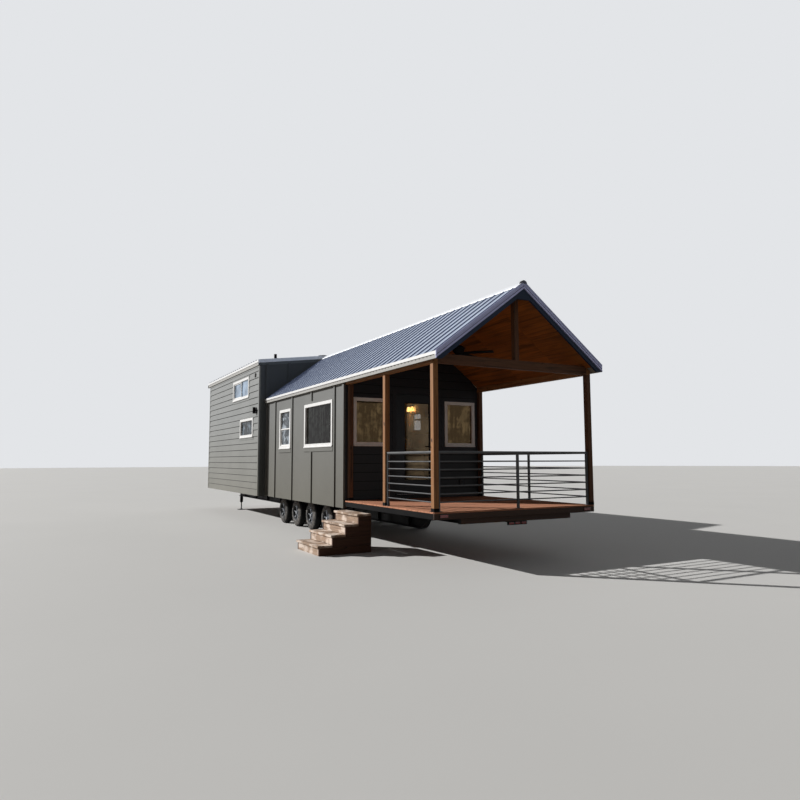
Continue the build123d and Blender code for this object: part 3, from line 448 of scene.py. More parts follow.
def add(tree, kind, inputs=None, **settings):
    """Adds one node. settings are its own, and each input is a value or the socket that feeds it."""
    made = tree.nodes.new(kind)
    for key, value in settings.items():
        setattr(made, key, value)
    for key, value in (inputs or {}).items():
        if isinstance(value, bpy.types.NodeSocket):
            tree.links.new(value, made.inputs[key])
        else:
            made.inputs[key].default_value = value
    return made


def named(recipe):
    """Makes a recipe(tree, shader, ...) into a function of a material's name that builds it only once.

    A recipe returns its colour and, for a bump, the height, its full depth in metres and the strength.
    """
    def make(name=recipe.__name__, *values, **settings):
        if name in bpy.data.materials:
            return bpy.data.materials[name]
        made = bpy.data.materials.new(name)
        made.use_nodes = True
        tree = made.node_tree
        shader = tree.nodes["Principled BSDF"]
        colour, *relief = recipe(tree, shader, *values, **settings)
        tree.links.new(colour, shader.inputs["Base Color"])
        if relief:
            raised = add(tree, "ShaderNodeBump", dict(zip(("Height", "Distance", "Strength"), relief)))
            tree.links.new(raised.outputs["Normal"], shader.inputs["Normal"])
        return made
    return make


def constants(shader, **sockets):
    """Sets constants on the shader's own sockets."""
    for key, value in sockets.items():
        shader.inputs[key.replace("_", " ")].default_value = value


def calc(tree, operation, *values):
    """The result of one Math node."""
    return add(tree, "ShaderNodeMath", dict(enumerate(values)), operation=operation).outputs[0]


def stored(tree, attribute):
    """A value kept on the mesh: a board's own number, or how far up a rib a point is."""
    return add(tree, "ShaderNodeAttribute", attribute_name=attribute).outputs["Fac"]


def lengthwise(along, fine, long):
    """A noise cell that is long along one axis and fine across it."""
    return [long if axis == along else fine for axis in "xyz"]


def stretched(tree, cell, seed=0.0, by_board=False):
    """Object coordinates divided by a cell (x, y, z) in metres, so noise has features of that size.

    With by_board each board's own value moves the pattern along, so no two boards match.
    """
    place = add(tree, "ShaderNodeTexCoord").outputs["Object"]
    if by_board:
        jump = calc(tree, "MULTIPLY", stored(tree, "board"), 37.0)
        place = add(tree, "ShaderNodeVectorMath", {0: place, 1: jump}, operation="ADD").outputs[0]
    scale = (1.0 / np.broadcast_to(cell, 3)).tolist()
    inputs = {"Vector": place, "Scale": scale, "Location": (seed,) * 3}
    return add(tree, "ShaderNodeMapping", inputs).outputs[0]


def noise(tree, cell, detail=3.0, seed=0.0, distortion=0.0, by_board=False):
    """Noise whose features measure cell metres, one number or one for each of x, y and z."""
    inputs = {"Vector": stretched(tree, cell, seed, by_board), "Scale": 1.0, "Detail": detail,
              "Distortion": distortion}
    return add(tree, "ShaderNodeTexNoise", inputs).outputs["Fac"]


def ramp(tree, factor, stops):
    """Colours or greys along a factor, from rows of position and sRGB hex."""
    made = add(tree, "ShaderNodeValToRGB", {"Fac": factor})
    steps = made.color_ramp.elements
    while len(steps) < len(stops):
        steps.new(0.5)
    for step, (position, colour) in zip(steps, stops):
        step.position = position
        step.color = linear(colour)
    return made.outputs["Color"]


def blend(tree, factor, first, second, mode="MIX"):
    """Two colours mixed; either may be a socket or a hex colour."""
    made = add(tree, "ShaderNodeMix", {"Factor": factor}, data_type="RGBA", blend_type=mode)
    for socket, value in ((made.inputs[6], first), (made.inputs[7], second)):
        if isinstance(value, str):
            socket.default_value = linear(value)
        else:
            tree.links.new(value, socket)
    return made.outputs[2]


def stretch(tree, value, low=0.0, high=1.0):
    """Maps a noise's middle range onto low..high."""
    inputs = {"Value": value, "From Min": 0.3, "From Max": 0.7, "To Min": low, "To Max": high}
    return add(tree, "ShaderNodeMapRange", inputs).outputs[0]


def darker(colour, share):
    """The same hex colour with its brightness scaled."""
    parts = [min(255, round(int(colour[i:i + 2], 16) * share)) for i in (1, 3, 5)]
    return "#" + "".join(f"{p:02x}" for p in parts)


@named
def painted_siding(tree, shader, colour, along, foot=None):
    """Satin exterior paint on engineered wood: an embossed grain shows through, and dust dulls it.

    It turns darker and warmer towards the ground. With a foot, a painted shadow darkens each course under
    the butt above it: the course is the fraction of (height - foot) / LAP, and its last tenth darkens.
    """
    constants(shader, Roughness=0.62, Specular_IOR_Level=0.18)
    grain = noise(tree, lengthwise(along, 0.006, 0.16), 4.0, by_board=True)
    dust = noise(tree, 0.9, 4.0)
    fresh = blend(tree, stretch(tree, grain), darker(colour, 0.955), darker(colour, 1.03))
    toned = blend(tree, stored(tree, "board"), darker(colour, 0.95), darker(colour, 1.04))
    mixed = blend(tree, 0.4, fresh, toned)
    dusty = blend(tree, stretch(tree, dust, 0.0, 0.35), mixed, darker(colour, 1.12))
    place = add(tree, "ShaderNodeTexCoord").outputs["Object"]
    height = add(tree, "ShaderNodeSeparateXYZ", {0: place}).outputs["Z"]
    # Darker and warmer towards the ground.
    toward_ground = ramp(tree, calc(tree, "DIVIDE", height, 4.0), [(0.18, "#ece7da"), (0.70, WHITE)])
    dusty = blend(tree, 1.0, dusty, toward_ground, "MULTIPLY")
    if foot is not None:
        # Painted shadow under each board's butt: the top tenth of each course darkens.
        course = calc(tree, "FRACT", calc(tree, "DIVIDE", calc(tree, "SUBTRACT", height, foot), LAP))
        line = ramp(tree, course, [(0.90, WHITE), (0.93, "#5c5c5c"), (1.0, "#4a4a4a")])
        dusty = blend(tree, 1.0, dusty, line, "MULTIPLY")
    return dusty, grain, 0.0012, 0.6


@named
def timber(tree, shader, along, pale, dark, rough=0.6, worn=None, sheen=0.2):
    """Sawn softwood: broad bands of early and late wood, fine dark pores, a few knots.

    With worn, pale patches of that colour show where feet have scuffed it.
    """
    constants(shader, Roughness=rough, Specular_IOR_Level=sheen)
    bands = noise(tree, lengthwise(along, 0.030, 0.9), distortion=0.6, by_board=True)
    pores = noise(tree, lengthwise(along, 0.004, 0.12), seed=3.0, by_board=True)
    stops = [(0.30, dark), (0.47, darker(pale, 0.88)), (0.60, pale), (0.75, darker(pale, 0.8))]
    body = ramp(tree, bands, stops)
    pored = blend(tree, stretch(tree, pores, 0.45, 0.0), body, darker(dark, 0.8))
    own = calc(tree, "MULTIPLY", stored(tree, "board"), 0.35)
    toned = blend(tree, own, pored, darker(pale, 0.72))
    spots = noise(tree, lengthwise(along, 0.05, 0.13), 1.0, seed=9.0, by_board=True)
    colour = blend(tree, ramp(tree, spots, [(0.70, BLACK), (0.76, WHITE)]), toned, darker(dark, 0.55))
    if worn:
        scuffs = noise(tree, (0.22, 0.30, 0.16), 5.0, seed=11.0)
        colour = blend(tree, ramp(tree, scuffs, [(0.47, BLACK), (0.60, "#d0d0d0")]), colour, worn)
    return colour, pores, 0.0008, 0.7


@named
def stained_plywood(tree, shader):
    """Rotary-cut plywood under a dark stain: wide wandering figure, and clouds where it took unevenly."""
    constants(shader, Roughness=0.55, Specular_IOR_Level=0.2)
    pale = colours().ceiling
    figure = noise(tree, (0.07, 1.4, 0.07), 4.0, distortion=1.0, by_board=True)
    cloud = noise(tree, (0.5, 0.9, 0.5), seed=6.0, by_board=True)
    stops = [(0.30, darker(pale, 0.6)), (0.46, darker(pale, 0.88)), (0.58, pale), (0.74, darker(pale, 0.72))]
    body = ramp(tree, figure, stops)
    return blend(tree, stretch(tree, cloud, 0.5, 0.0), body, darker(pale, 0.42)), figure, 0.0008, 0.4


@named
def coated_steel_roof(tree, shader):
    """Ribbed steel with a zinc-aluminium coat: bright pans with rain streaks, painted shade on rib flanks.
    """
    constants(shader, Metallic=0.5, Roughness=0.4)
    # The big ribs' flanks take the darker roof_rib colour as painted shade.
    flank = stored(tree, "rib")
    spangle = noise(tree, 0.02, 2.0)
    streaks = noise(tree, (0.7, 0.05, 0.7), seed=4.0)
    pan = blend(tree, stretch(tree, streaks), darker(colours().roof, 0.92), darker(colours().roof, 1.06))
    steel = blend(tree, flank, pan, colours().roof_rib)
    tree.links.new(stretch(tree, spangle, 0.34, 0.48), shader.inputs["Roughness"])
    return steel, spangle, 0.0004, 0.3


@named
def coated_trim(tree, shader, colour, rough=0.42, metal=0.0):
    """Folded steel with a baked paint coat: smooth, faintly wavy, dust in the folds."""
    constants(shader, Roughness=rough, Metallic=metal)
    waves = noise(tree, 0.35, 2.0)
    dirt = noise(tree, 0.08, 5.0, seed=2.0)
    return blend(tree, stretch(tree, dirt, 0.0, 0.5), colour, darker(colour, 0.9)), waves, 0.002, 0.25


@named
def black_paint(tree, shader, colour=None, rough=0.45, sheen=0.04):
    """Satin black paint on steel: slight orange peel, dust that greys it in patches."""
    constants(shader, Roughness=rough, Specular_IOR_Level=sheen)
    peel = noise(tree, 0.003, 2.0)
    dust = noise(tree, 0.25, 5.0, seed=5.0)
    dusty = blend(tree, stretch(tree, dust, 0.0, 0.3), colour or colours().steel, "#25231f")
    tree.links.new(stretch(tree, dust, rough - 0.08, rough + 0.2), shader.inputs["Roughness"])
    return dusty, peel, 0.0002, 0.3


@named
def white_vinyl(tree, shader):
    """Extruded white vinyl of the window frames: even, slightly glossy, with soft grime."""
    constants(shader, Roughness=0.35)
    grime = noise(tree, 0.15, 4.0)
    return blend(tree, stretch(tree, grime, 0.0, 0.5), colours().white, "#dcd8d2"), grime, 0.0006, 0.15


@named
def pane_glass(tree, shader, colour, alpha, coat, dark=None):
    """Coated double glazing: a tinted pane that mirrors part of what stands before it.

    With dark, upright streaks and blots of it break up the tint as a painted reflection of the surroundings.
    """
    constants(shader, Roughness=0.04, Alpha=alpha, Metallic=coat, Specular_IOR_Level=0.05)
    uneven = noise(tree, (0.5, 0.5, 0.35))
    tinted = blend(tree, stretch(tree, uneven), darker(colour, 0.75), darker(colour, 1.2))
    if dark:
        streaks = noise(tree, (0.06, 0.06, 0.5), 5.0, seed=2.0)
        blots = noise(tree, 0.12, 6.0, seed=7.0, distortion=0.7)
        half = calc(tree, "MULTIPLY", calc(tree, "ADD", streaks, blots), 0.5)
        tinted = blend(tree, ramp(tree, half, [(0.43, BLACK), (0.52, WHITE)]), tinted, dark)
    return tinted, uneven, 0.003, 0.1


@named
def plain(tree, shader, colour, rough, **sockets):
    """Rolled indoor paint or cast plastic: nearly even, with a fine stipple."""
    constants(shader, Roughness=rough, **sockets)
    mottle = noise(tree, 0.2, 4.0)
    stipple = noise(tree, 0.004, 2.0, seed=1.0)
    even = blend(tree, stretch(tree, mottle), darker(colour, 0.93), darker(colour, 1.05))
    return even, stipple, 0.0003, 0.3


@named
def tyre_rubber(tree, shader):
    """Moulded tyre rubber, greyed by road dust on the sidewalls."""
    constants(shader, Roughness=0.7, Specular_IOR_Level=0.25)
    dust = noise(tree, 0.06, 5.0)
    side = stored(tree, "rib")
    worn = blend(tree, stretch(tree, dust, -0.2, 1.0), "#242323", "#77716b")
    black = blend(tree, stretch(tree, dust, 0.0, 0.4), "#09090a", "#171614")
    return blend(tree, side, black, worn), dust, 0.0008, 0.4


@named
def machined_aluminium(tree, shader):
    """Cast and machined wheel aluminium under clear lacquer."""
    constants(shader, Metallic=0.7, Roughness=0.28)
    stain = noise(tree, 0.03, 4.0)
    tinted = blend(tree, stretch(tree, stain), "#c3c6cb", "#92969c")
    tree.links.new(stretch(tree, stain, 0.22, 0.4), shader.inputs["Roughness"])
    return tinted, stain, 0.0004, 0.2


@named
def amber_glass(tree, shader):
    """Amber glass shade of the kitchen lamp, lit from inside."""
    constants(shader, Roughness=0.3, Emission_Strength=6.0)
    glow = blend(tree, stretch(tree, noise(tree, (0.03, 0.03, 0.05), 2.0)), "#e8932f", "#ffd58a")
    tree.links.new(glow, shader.inputs["Emission Color"])
    return (glow,)


@named
def red_lens(tree, shader):
    """Moulded lamp lens with a fine diamond pattern."""
    constants(shader, Roughness=0.18, Coat_Weight=0.6, Coat_Roughness=0.05)
    inputs = {"Vector": stretched(tree, 0.012), "Scale": 1.0}
    facets = add(tree, "ShaderNodeTexVoronoi", inputs).outputs["Distance"]
    return blend(tree, facets, darker(LENS, 1.3), darker(LENS, 0.7)), facets, 0.002, 0.5


def seen(tree):
    """1 for rays from the camera, off a mirror or through glass; 0 for the light that surfaces pass on."""
    ray = add(tree, "ShaderNodeLightPath")
    found = ray.outputs["Is Camera Ray"]
    for kind in ("Is Glossy Ray", "Is Transmission Ray"):
        found = calc(tree, "MAXIMUM", found, ray.outputs[kind])
    return found


@named
def pale_floor(tree, shader):
    """Even pale ground that bounces as little light as dry ground does."""
    constants(shader, Roughness=0.9)
    pale = blend(tree, noise(tree, 3.0), "#cbc9c5", "#d0ceca")
    return (blend(tree, seen(tree), "#837b72", pale),)


# Dark paint for the seams and grooves of the trims: painted shade.
def painted_groove_shade():
    return plain("painted_groove_shade", "#3b352d", 0.9)


def soffit_paint():
    return plain("soffit_paint", "#8a857b", 0.75)


def white_trim():
    return coated_trim("white_trim", colours().white, 0.4)


def grey_trim():
    return coated_trim("grey_trim", colours().trim_grey, 0.5)


def timber_along(axis):
    return timber("oiled_timber_" + axis, axis, colours().timber, colours().timber_dark)


# The oiled timber darkened, as painted shade on the parts that stand in shade.
def shade_darkened_timber(axis):
    return timber("shade_darkened_timber_" + axis, axis, colours().stained, darker(colours().stained, 0.32), 0.7)


def side_trim_paint():
    return painted_siding("painted_trim_side", colours().lap, "y")


# The house


class HouseSiding(bpy.types.Operator):
    """Panels, battens and corner boards of the middle section and of the faces over the main roof"""

    bl_idname = "house.siding"
    bl_label = "Board and batten siding"

    def execute(self, context):
        width = sizes().batten_width
        batten = (PANEL, PANEL + sizes().batten_thick)
        top = roof_z(HALF, SLAB_DROP) - 0.004
        half = CORNER / 2
        panels, strips = [], []
        for wall, side in (("left", -1), ("right", 1)):
            holes = holes_in(wall)
            covered = around(*span(side, PORCH, REAR), SIDING_FOOT, top, holes)
            panels.append(wall_boxes(wall, [(*r, 0.0, PANEL) for r in covered]))
            rows = self.battens(side, width, batten, top, holes)
            for y in (PORCH + half, REAR - half):
                rows.append((side * y - half, side * y + half, SIDING_FOOT, top, *batten))
            for a, b, c, d in holes:
                rows.append((a - 0.045, b + 0.045, c - 0.118, c - 0.026, PANEL, PANEL + 0.016))
            strips.append(wall_boxes(wall, rows))
        paint = painted_siding("painted_panel", colours().siding, "z")
        piece("siding_panels", panels, paint)
        piece("siding_battens", strips, paint, bevel=0.002)
        self.dark_faces(width, batten)
        return {"FINISHED"}

    def battens(self, side, width, batten, top, holes):
        """Rows of the strips over the panel joints, left out where a casing takes most of their width."""
        outlines = [(a - 0.02, b + 0.02, c - 0.115, d + 0.090) for a, b, c, d in holes]
        rows = []
        for y in BATTENS:
            tall = {}
            for a, b, c, d in around(side * y - width / 2, side * y + width / 2, SIDING_FOOT, top, outlines):
                tall.setdefault((c, d), []).append((a, b))
            rows += [(min(a for a, b in ab), max(b for a, b in ab), c, d, *batten)
                     for (c, d), ab in tall.items() if sum(b - a for a, b in ab) > 0.9 * width]
        return rows

    def dark_faces(self, width, batten):
        """The rear section's front: a strip beside the middle walls and the face over the main roof."""
        wall, parts, strips = "rear_front", [], []
        low = roof_z(HALF, SLAB_DROP)
        for side in (-1, 1):
            out, eave = side * REAR_HALF, side * EAVE_X
            parts.append(wall_boxes(wall, [(out, side * HALF, SIDING_FOOT, low, 0, PANEL)]))
            parts.append(sloped(wall, out, eave, lambda u: low, soffit_z, 0, PANEL))
            parts.append(sloped(wall, eave, side * DORMER_INNER, roof_z, soffit_z, 0, PANEL))
            for x in (1.032, 1.640):
                strips.append(sloped(wall, side * (x - width / 2), side * (x + width / 2),
                                     lambda u: roof_z(u, -RIB_RISE), soffit_z, *batten))
            corner = (out, out - side * CORNER, SIDING_FOOT, soffit_z(REAR_HALF), *batten)
            strips.append(wall_boxes(wall, [corner]))
        # The darker dormer paint stands partly for painted shade on these front faces.
        paint = painted_siding("painted_panel_dormer", colours().dormer, "z")
        piece("rear_front_panels", parts, paint)
        piece("rear_front_battens", strips, paint, bevel=0.002)


def lap_boards(wall, u0, u1, z0, z1, holes, limit=None):
    """Overlapping boards: course k is a wedge, thick at its lower edge, cut round the holes.

    A board's face lies at butt - (butt - tip) * (z - foot) / LAP from the wall. limit gives half the
    wall's width at a height, for gables.
    """
    butt, tip = sizes().lap_butt, 0.005
    count = int(np.ceil((z1 - z0) / LAP))
    rows = [(k, *r) for k in range(count)
            for r in around(u0, u1, z0 + k * LAP, min(z0 + (k + 1) * LAP, z1), holes)]
    k, a, b, c, d = np.array(rows).T
    foot = z0 + k * LAP
    z = np.stack([c, c, c, c, d, d, d, d], axis=1)
    u = np.stack([a, b, b, a, a, b, b, a], axis=1)
    if limit is not None:
        reach = limit(z)
        u = np.clip(u, -reach, reach)
    face = butt - (butt - tip) * (z - foot[:, None]) / LAP
    out = np.where(np.array([0, 0, 1, 1, 0, 0, 1, 1]), face, 0.0)
    keep = (u[:, 1] - u[:, 0] > 1e-3) | (u[:, 5] - u[:, 4] > 1e-3)
    return hexes(on_wall(wall, u[keep], z[keep], out[keep]))


class HouseLapSiding(bpy.types.Operator):
    """Lap siding of the rear section and of the wall behind the porch, with corner boards"""

    bl_idname = "house.lap_siding"
    bl_label = "Lap siding"

    def execute(self, context):
        side_top, peak = soffit_z(REAR_HALF), REAR_RIDGE_Z - REAR_ROOF
        inner = REAR_HALF - CORNER
        parts, trims = [], []
        for wall, side in (("rear_left", -1), ("rear_right", 1), ("end", 0)):
            holes = holes_in(wall)
            outlines = [(a - 0.06, b + 0.06, c - 0.10, d + 0.06) for a, b, c, d in holes]
            if side:
                ends = span(side, REAR + 0.07, END - CORNER)
                parts.append(lap_boards(wall, *ends, SIDING_FOOT, side_top - 0.05, outlines))
                rows = [(*span(side, REAR, REAR + 0.07), SIDING_FOOT, side_top),
                        (*span(side, END - CORNER, END), SIDING_FOOT, side_top),
                        (*ends, side_top - 0.05, side_top)]
            else:
                parts.append(lap_boards(wall, -inner, inner, SIDING_FOOT, peak, outlines,
                                        lambda z: np.clip((peak - z) / REAR_SLOPE, 0, inner)))
                rows = [(*span(s, inner, REAR_HALF), SIDING_FOOT, side_top) for s in (-1, 1)]
            rows = [(*r, 0, BOARD_EDGE) for r in rows]
            trims.append(wall_boxes(wall, rows + casing_boards(outlines, holes)))
        for s in (-1, 1):
            trims.append(sloped("end", 0, s * REAR_HALF, lambda u: soffit_z(u) - LAP, soffit_z, 0, 0.024))
        paint = painted_siding("painted_lap_side", colours().lap, "y", SIDING_FOOT)
        piece("rear_lap_boards", parts, paint)
        piece("rear_lap_trims", trims, side_trim_paint(), bevel=0.002)
        self.porch_wall()
        return {"FINISHED"}

    def porch_wall(self):
        """The wall behind the porch, under the ceiling's slope."""
        openings = holes_in("porch")
        outlines = [(a - 0.085, b + 0.085, c - 0.09, d + 0.085) for a, b, c, d in openings[:2]]
        outlines.append((-DOOR_HALF - 0.09, DOOR_HALF + 0.09, 0.0, DOOR_HEAD + 0.09))
        edge, foot, peak, top = HALF - 0.05, DECK + 0.02, RIDGE_Z - CEILING_DROP, 3.16
        parts = [lap_boards("porch", -edge, edge, foot, peak, outlines,
                            lambda z: np.clip((peak - z) / SLOPE, 0, edge))]
        rows = [(-HALF, -edge, DECK, top, 0, BOARD_EDGE), (edge, HALF, DECK, top, 0, BOARD_EDGE),
                (-HALF, HALF, DECK, foot, 0, BOARD_EDGE), (-DOOR_HALF, DOOR_HALF, foot, FLOOR, 0, 0.014)]
        rows += casing_boards(outlines, openings, foot)
        # The darker porch paint stands partly for painted shade under the porch roof.
        dark = colours().porch_wall
        piece("porch_wall_boards", parts, painted_siding("painted_lap_porch", dark, "x", foot))
        piece("porch_wall_trims", [wall_boxes("porch", rows)],
              painted_siding("painted_trim_porch", dark, "x"), bevel=0.002)


class HouseWindows(bpy.types.Operator):
    """White vinyl frames, sills, mullions and panes"""

    bl_idname = "house.windows"
    bl_label = "Windows"

    def execute(self, context):
        outer = [(-0.020, 0.0), (-0.020, 0.024), (-0.016, 0.028), (0.046, 0.028), (0.050, 0.024),
                 (0.050, -0.030), (0.028, -0.030), (0.028, -0.086), (0.0, -0.086), (0.0, 0.0)]
        near = [(0.046, 0.010), (0.074, 0.010), (0.078, 0.006), (0.080, -0.026), (0.046, -0.026)]
        far = [(inset, out - 0.028) for inset, out in near]
        lap = 0.060
        frames, bars, panes = [], [], {}
        for wall, a, b, c, d, kind in WINDOWS:
            across, up = (a + b) / 2, (c + d) / 2
            sashes = {"hung": [(a, b, c, up + lap), (a, b, up - lap, d)],
                      "slider": [(a, across + lap, c, d), (across - lap, b, c, d)]}.get(kind, [])
            frames.append(frame_ring(wall, a, b, c, d, outer))
            frames += [frame_ring(wall, *sash, section) for sash, section in zip(sashes, (near, far))]
            bars.append(wall_boxes(wall, [(a - 0.020, b + 0.020, c - 0.032, c - 0.004, 0.0, 0.040)]))
            depths = [(-0.024, -0.016), (-0.046, -0.040)][:max(1, len(sashes))]
            rows = [(a + 0.036, b - 0.036, c + 0.036, d - 0.036, *depth) for depth in depths]
            panes.setdefault(self.glazing(wall, c, kind), []).append(wall_boxes(wall, rows))
        piece("window_frames_detailed", frames, white_vinyl(), replaces=["window_frames"])
        piece("window_sills", bars, white_vinyl(), bevel=0.004)
        glass = {
            "dark": pane_glass("coated_pane", "#2c2d2a", 0.98, 0.0, "#120d0a"),
            # The pale blue of this pane is a painted reflection of the sky.
            "sky": pane_glass("sky_reflection_pane", "#a9bdd2", 0.96, 0.85),
            "half": pane_glass("tinted_pane", "#69737b", 0.96, 0.2, "#1c1e20"),
            "hung": pane_glass("soft_coat_pane", "#bcc5cd", 0.96, 0.2, "#464a4e"),
            # This brown tint is a painted reflection of the ground before the porch.
            "bronze": pane_glass("field_reflection_pane", "#6a583e", 0.95, 0.7, "#4c3d29"),
            "clear": pane_glass("kitchen_pane", "#a9d3e2", 0.25, 0.0),
        }
        for name, parts in panes.items():
            piece("window_panes_" + name, parts, glass[name],
                  replaces=["window_glass"] if name == "dark" else ())
        return {"FINISHED"}

    def glazing(self, wall, sill, kind):
        """Which glass a window has, told by its place and kind."""
        if wall == "porch":
            return "bronze"
        small = "clear" if wall == "right" and sill > 2.0 else "half"
        return {"slider": "sky", "picture": "dark", "hung": "hung"}.get(kind, small)


class HouseDoor(bpy.types.Operator):
    """The glazed door with its frame, handle and hinges"""

    bl_idname = "house.door"
    bl_label = "Door"

    def execute(self, context):
        low, high, half = FLOOR + 0.025, DOOR_HEAD - 0.025, 0.457
        glass = (-0.276, 0.340, 1.201, 2.803)
        back = [(0.0, 0.014), (0.0, -0.116), (0.020, -0.116), (0.020, -0.080), (0.032, -0.080),
                (0.032, -0.0755), (0.020, -0.0755), (0.020, 0.014)]
        paint = plain("door_black_paint", "#191a1c", 0.45, Specular_IOR_Level=0.2)
        ring = frame_ring("porch", -DOOR_HALF, DOOR_HALF, FLOOR, DOOR_HEAD, back)
        sill = wall_boxes("porch", [(-0.49, 0.49, FLOOR, FLOOR + 0.018, -0.116, 0.045)])
        piece("door_frame_detailed", [ring], paint, replaces=["door_frame"], bevel=0.001)
        piece("door_sill", [sill], coated_trim("mill_aluminium", "#8d8f90", 0.35), bevel=0.003)
        rows = [(*r, -0.075, -0.030) for r in around(-half, half, low, high, [glass])]
        leaf = [wall_boxes("porch", rows)]
        bead = [(-0.006, -0.026), (-0.002, -0.022), (0.006, -0.024), (0.010, -0.034), (0.010, -0.071),
                (0.006, -0.081), (-0.002, -0.083), (-0.006, -0.079)]
        leaf.append(frame_ring("porch", *glass, bead))
        piece("door_leaf", leaf, paint, body="door", replaces=["door_panel"])
        pane = wall_boxes("porch", [(-0.271, 0.335, 1.206, 2.798, -0.058, -0.047)])
        # The pane's beige tint is a painted reflection of the ground in front of the door.
        piece("door_pane", [pane], pane_glass("clear_pane", "#7d6c55", 0.42, 0.65),
              body="door", replaces=["door_glass"])
        self.handle(low, high)
        return {"FINISHED"}

    def handle(self, low, high):
        """Round roses with a curved lever and a bolt cylinder on both faces, and three hinge barrels."""
        metal = black_paint("handle_black", "#17181a", 0.3)
        rose = [(0.0, 0.001), (0.0, 0.031), (0.006, 0.031), (0.009, 0.027), (0.010, 0.012), (0.045, 0.010),
                (0.045, 0.001)]
        bolt = [(0.0, 0.001), (0.0, 0.029), (0.007, 0.027), (0.008, 0.013), (0.016, 0.012), (0.016, 0.001)]
        x, z, middle = 0.387, 1.90, PORCH + 0.0525
        t = np.linspace(0, 1, 9)
        parts = []
        for face in (-1, 1):
            y = middle + face * 0.0225
            parts.append(lathe(mirrored(rose, face), (x, y, z), "y", 24))
            parts.append(lathe(mirrored(bolt, face), (x, y, z + 0.14), "y", 24))
            bow = y + face * (0.040 - 0.010 * np.sin(np.pi * t))
            path = np.stack([x + 0.008 - 0.125 * t, bow, z + 0 * t], axis=1)
            parts.append(sweep(path, rounded(0.012, 0.018, 0.004)))
        piece("door_handle", parts, metal, body="door", smooth=40, weld=True)
        barrel = [(-0.05, 0.001), (-0.05, 0.0068), (0.05, 0.0068), (0.05, 0.001)]
        heights = [low + (high - low) * share for share in (0.0984, 0.5, 0.9016)]
        barrels = [lathe(barrel, (-0.4595, PORCH + 0.0823, height), "z", 16) for height in heights]
        piece("door_hinges", barrels, metal, smooth=40)


def rib_lines(y0, y1):
    """Where the ribs of a sheet from y0 to y1 stand, the rest shared out between its two ends."""
    count = int((y1 - y0) // RIB_PITCH)
    return y0 + ((y1 - y0) - (count - 1) * RIB_PITCH) / 2 + RIB_PITCH * np.arange(count)


def ribbed_sheet(side, y0, y1, ridge_z, slope, run, lift=0.0):
    """One slope of ribbed steel: height h(y) over the pan, carried down the slope.

    h has a 19 mm rib every pitch and two faint stiffening ribs between, all with slanted sides.
    """
    across = 1 / np.hypot(1, slope)
    lines = rib_lines(y0, y1)
    unit_y = np.array([-0.032, -0.030, -0.012, -0.011, 0.011, 0.012, 0.030, 0.032,
                       0.068, 0.076, 0.088, 0.096, 0.151, 0.159, 0.171, 0.179])
    unit_h = [0, 0.001, 0.0185, 0.019, 0.019, 0.0185, 0.001, 0, 0, 0.0016, 0.0016, 0, 0, 0.0016, 0.0016, 0]
    # 1 on the flanks of each big rib, where the roof's material paints shade
    unit_rib = [0, 1, 1, 0, 0, 1, 1] + [0] * 9
    y = (lines[:, None] + unit_y).ravel()
    h, rib = np.tile(unit_h, len(lines)), np.tile(unit_rib, len(lines))
    keep = (y > y0 + 0.001) & (y < y1 - 0.001)
    y = np.concatenate([[y0], y[keep], [y1]])
    h = np.concatenate([[0], h[keep], [0]]) + 0.004
    rib = np.concatenate([[0], rib[keep], [0]])
    s = np.linspace(0.0, run, 8)
    top = np.stack([side * (s[:, None] * across + h * slope * across), y + 0 * s[:, None],
                    ridge_z - s[:, None] * slope * across + h * across + lift], axis=2)
    low = top - np.array([side * slope * across, 0, across]) * 0.0025
    n, m = len(s), len(y)
    points = np.concatenate([top.reshape(-1, 3), low.reshape(-1, 3)])
    quads = grid(n, m, False, False)
    edge = [[i * m, (i + 1) * m] for i in range(n - 1)]
    skirt = [[a, b, b + n * m, a + n * m] for a, b in edge]
    skirt += [[b + m - 1, a + m - 1, a + m - 1 + n * m, b + m - 1 + n * m] for a, b in edge]
    last = (n - 1) * m
    skirt += [[j + 1, j, j + n * m, j + 1 + n * m] for j in range(m - 1)]
    skirt += [[last + j, last + j + 1, last + j + 1 + n * m, last + j + n * m] for j in range(m - 1)]
    faces = quads + [[i + n * m for i in q[::-1]] for q in quads] + skirt
    return facing_out(points, faces), np.tile(rib, 2 * n)


def with_ribs(made, values):
    """Stores how far each point is up a rib, for the material."""
    rib = made.data.attributes.new("rib", "FLOAT", "POINT")
    rib.data.foreach_set("value", np.asarray(values, np.float32))


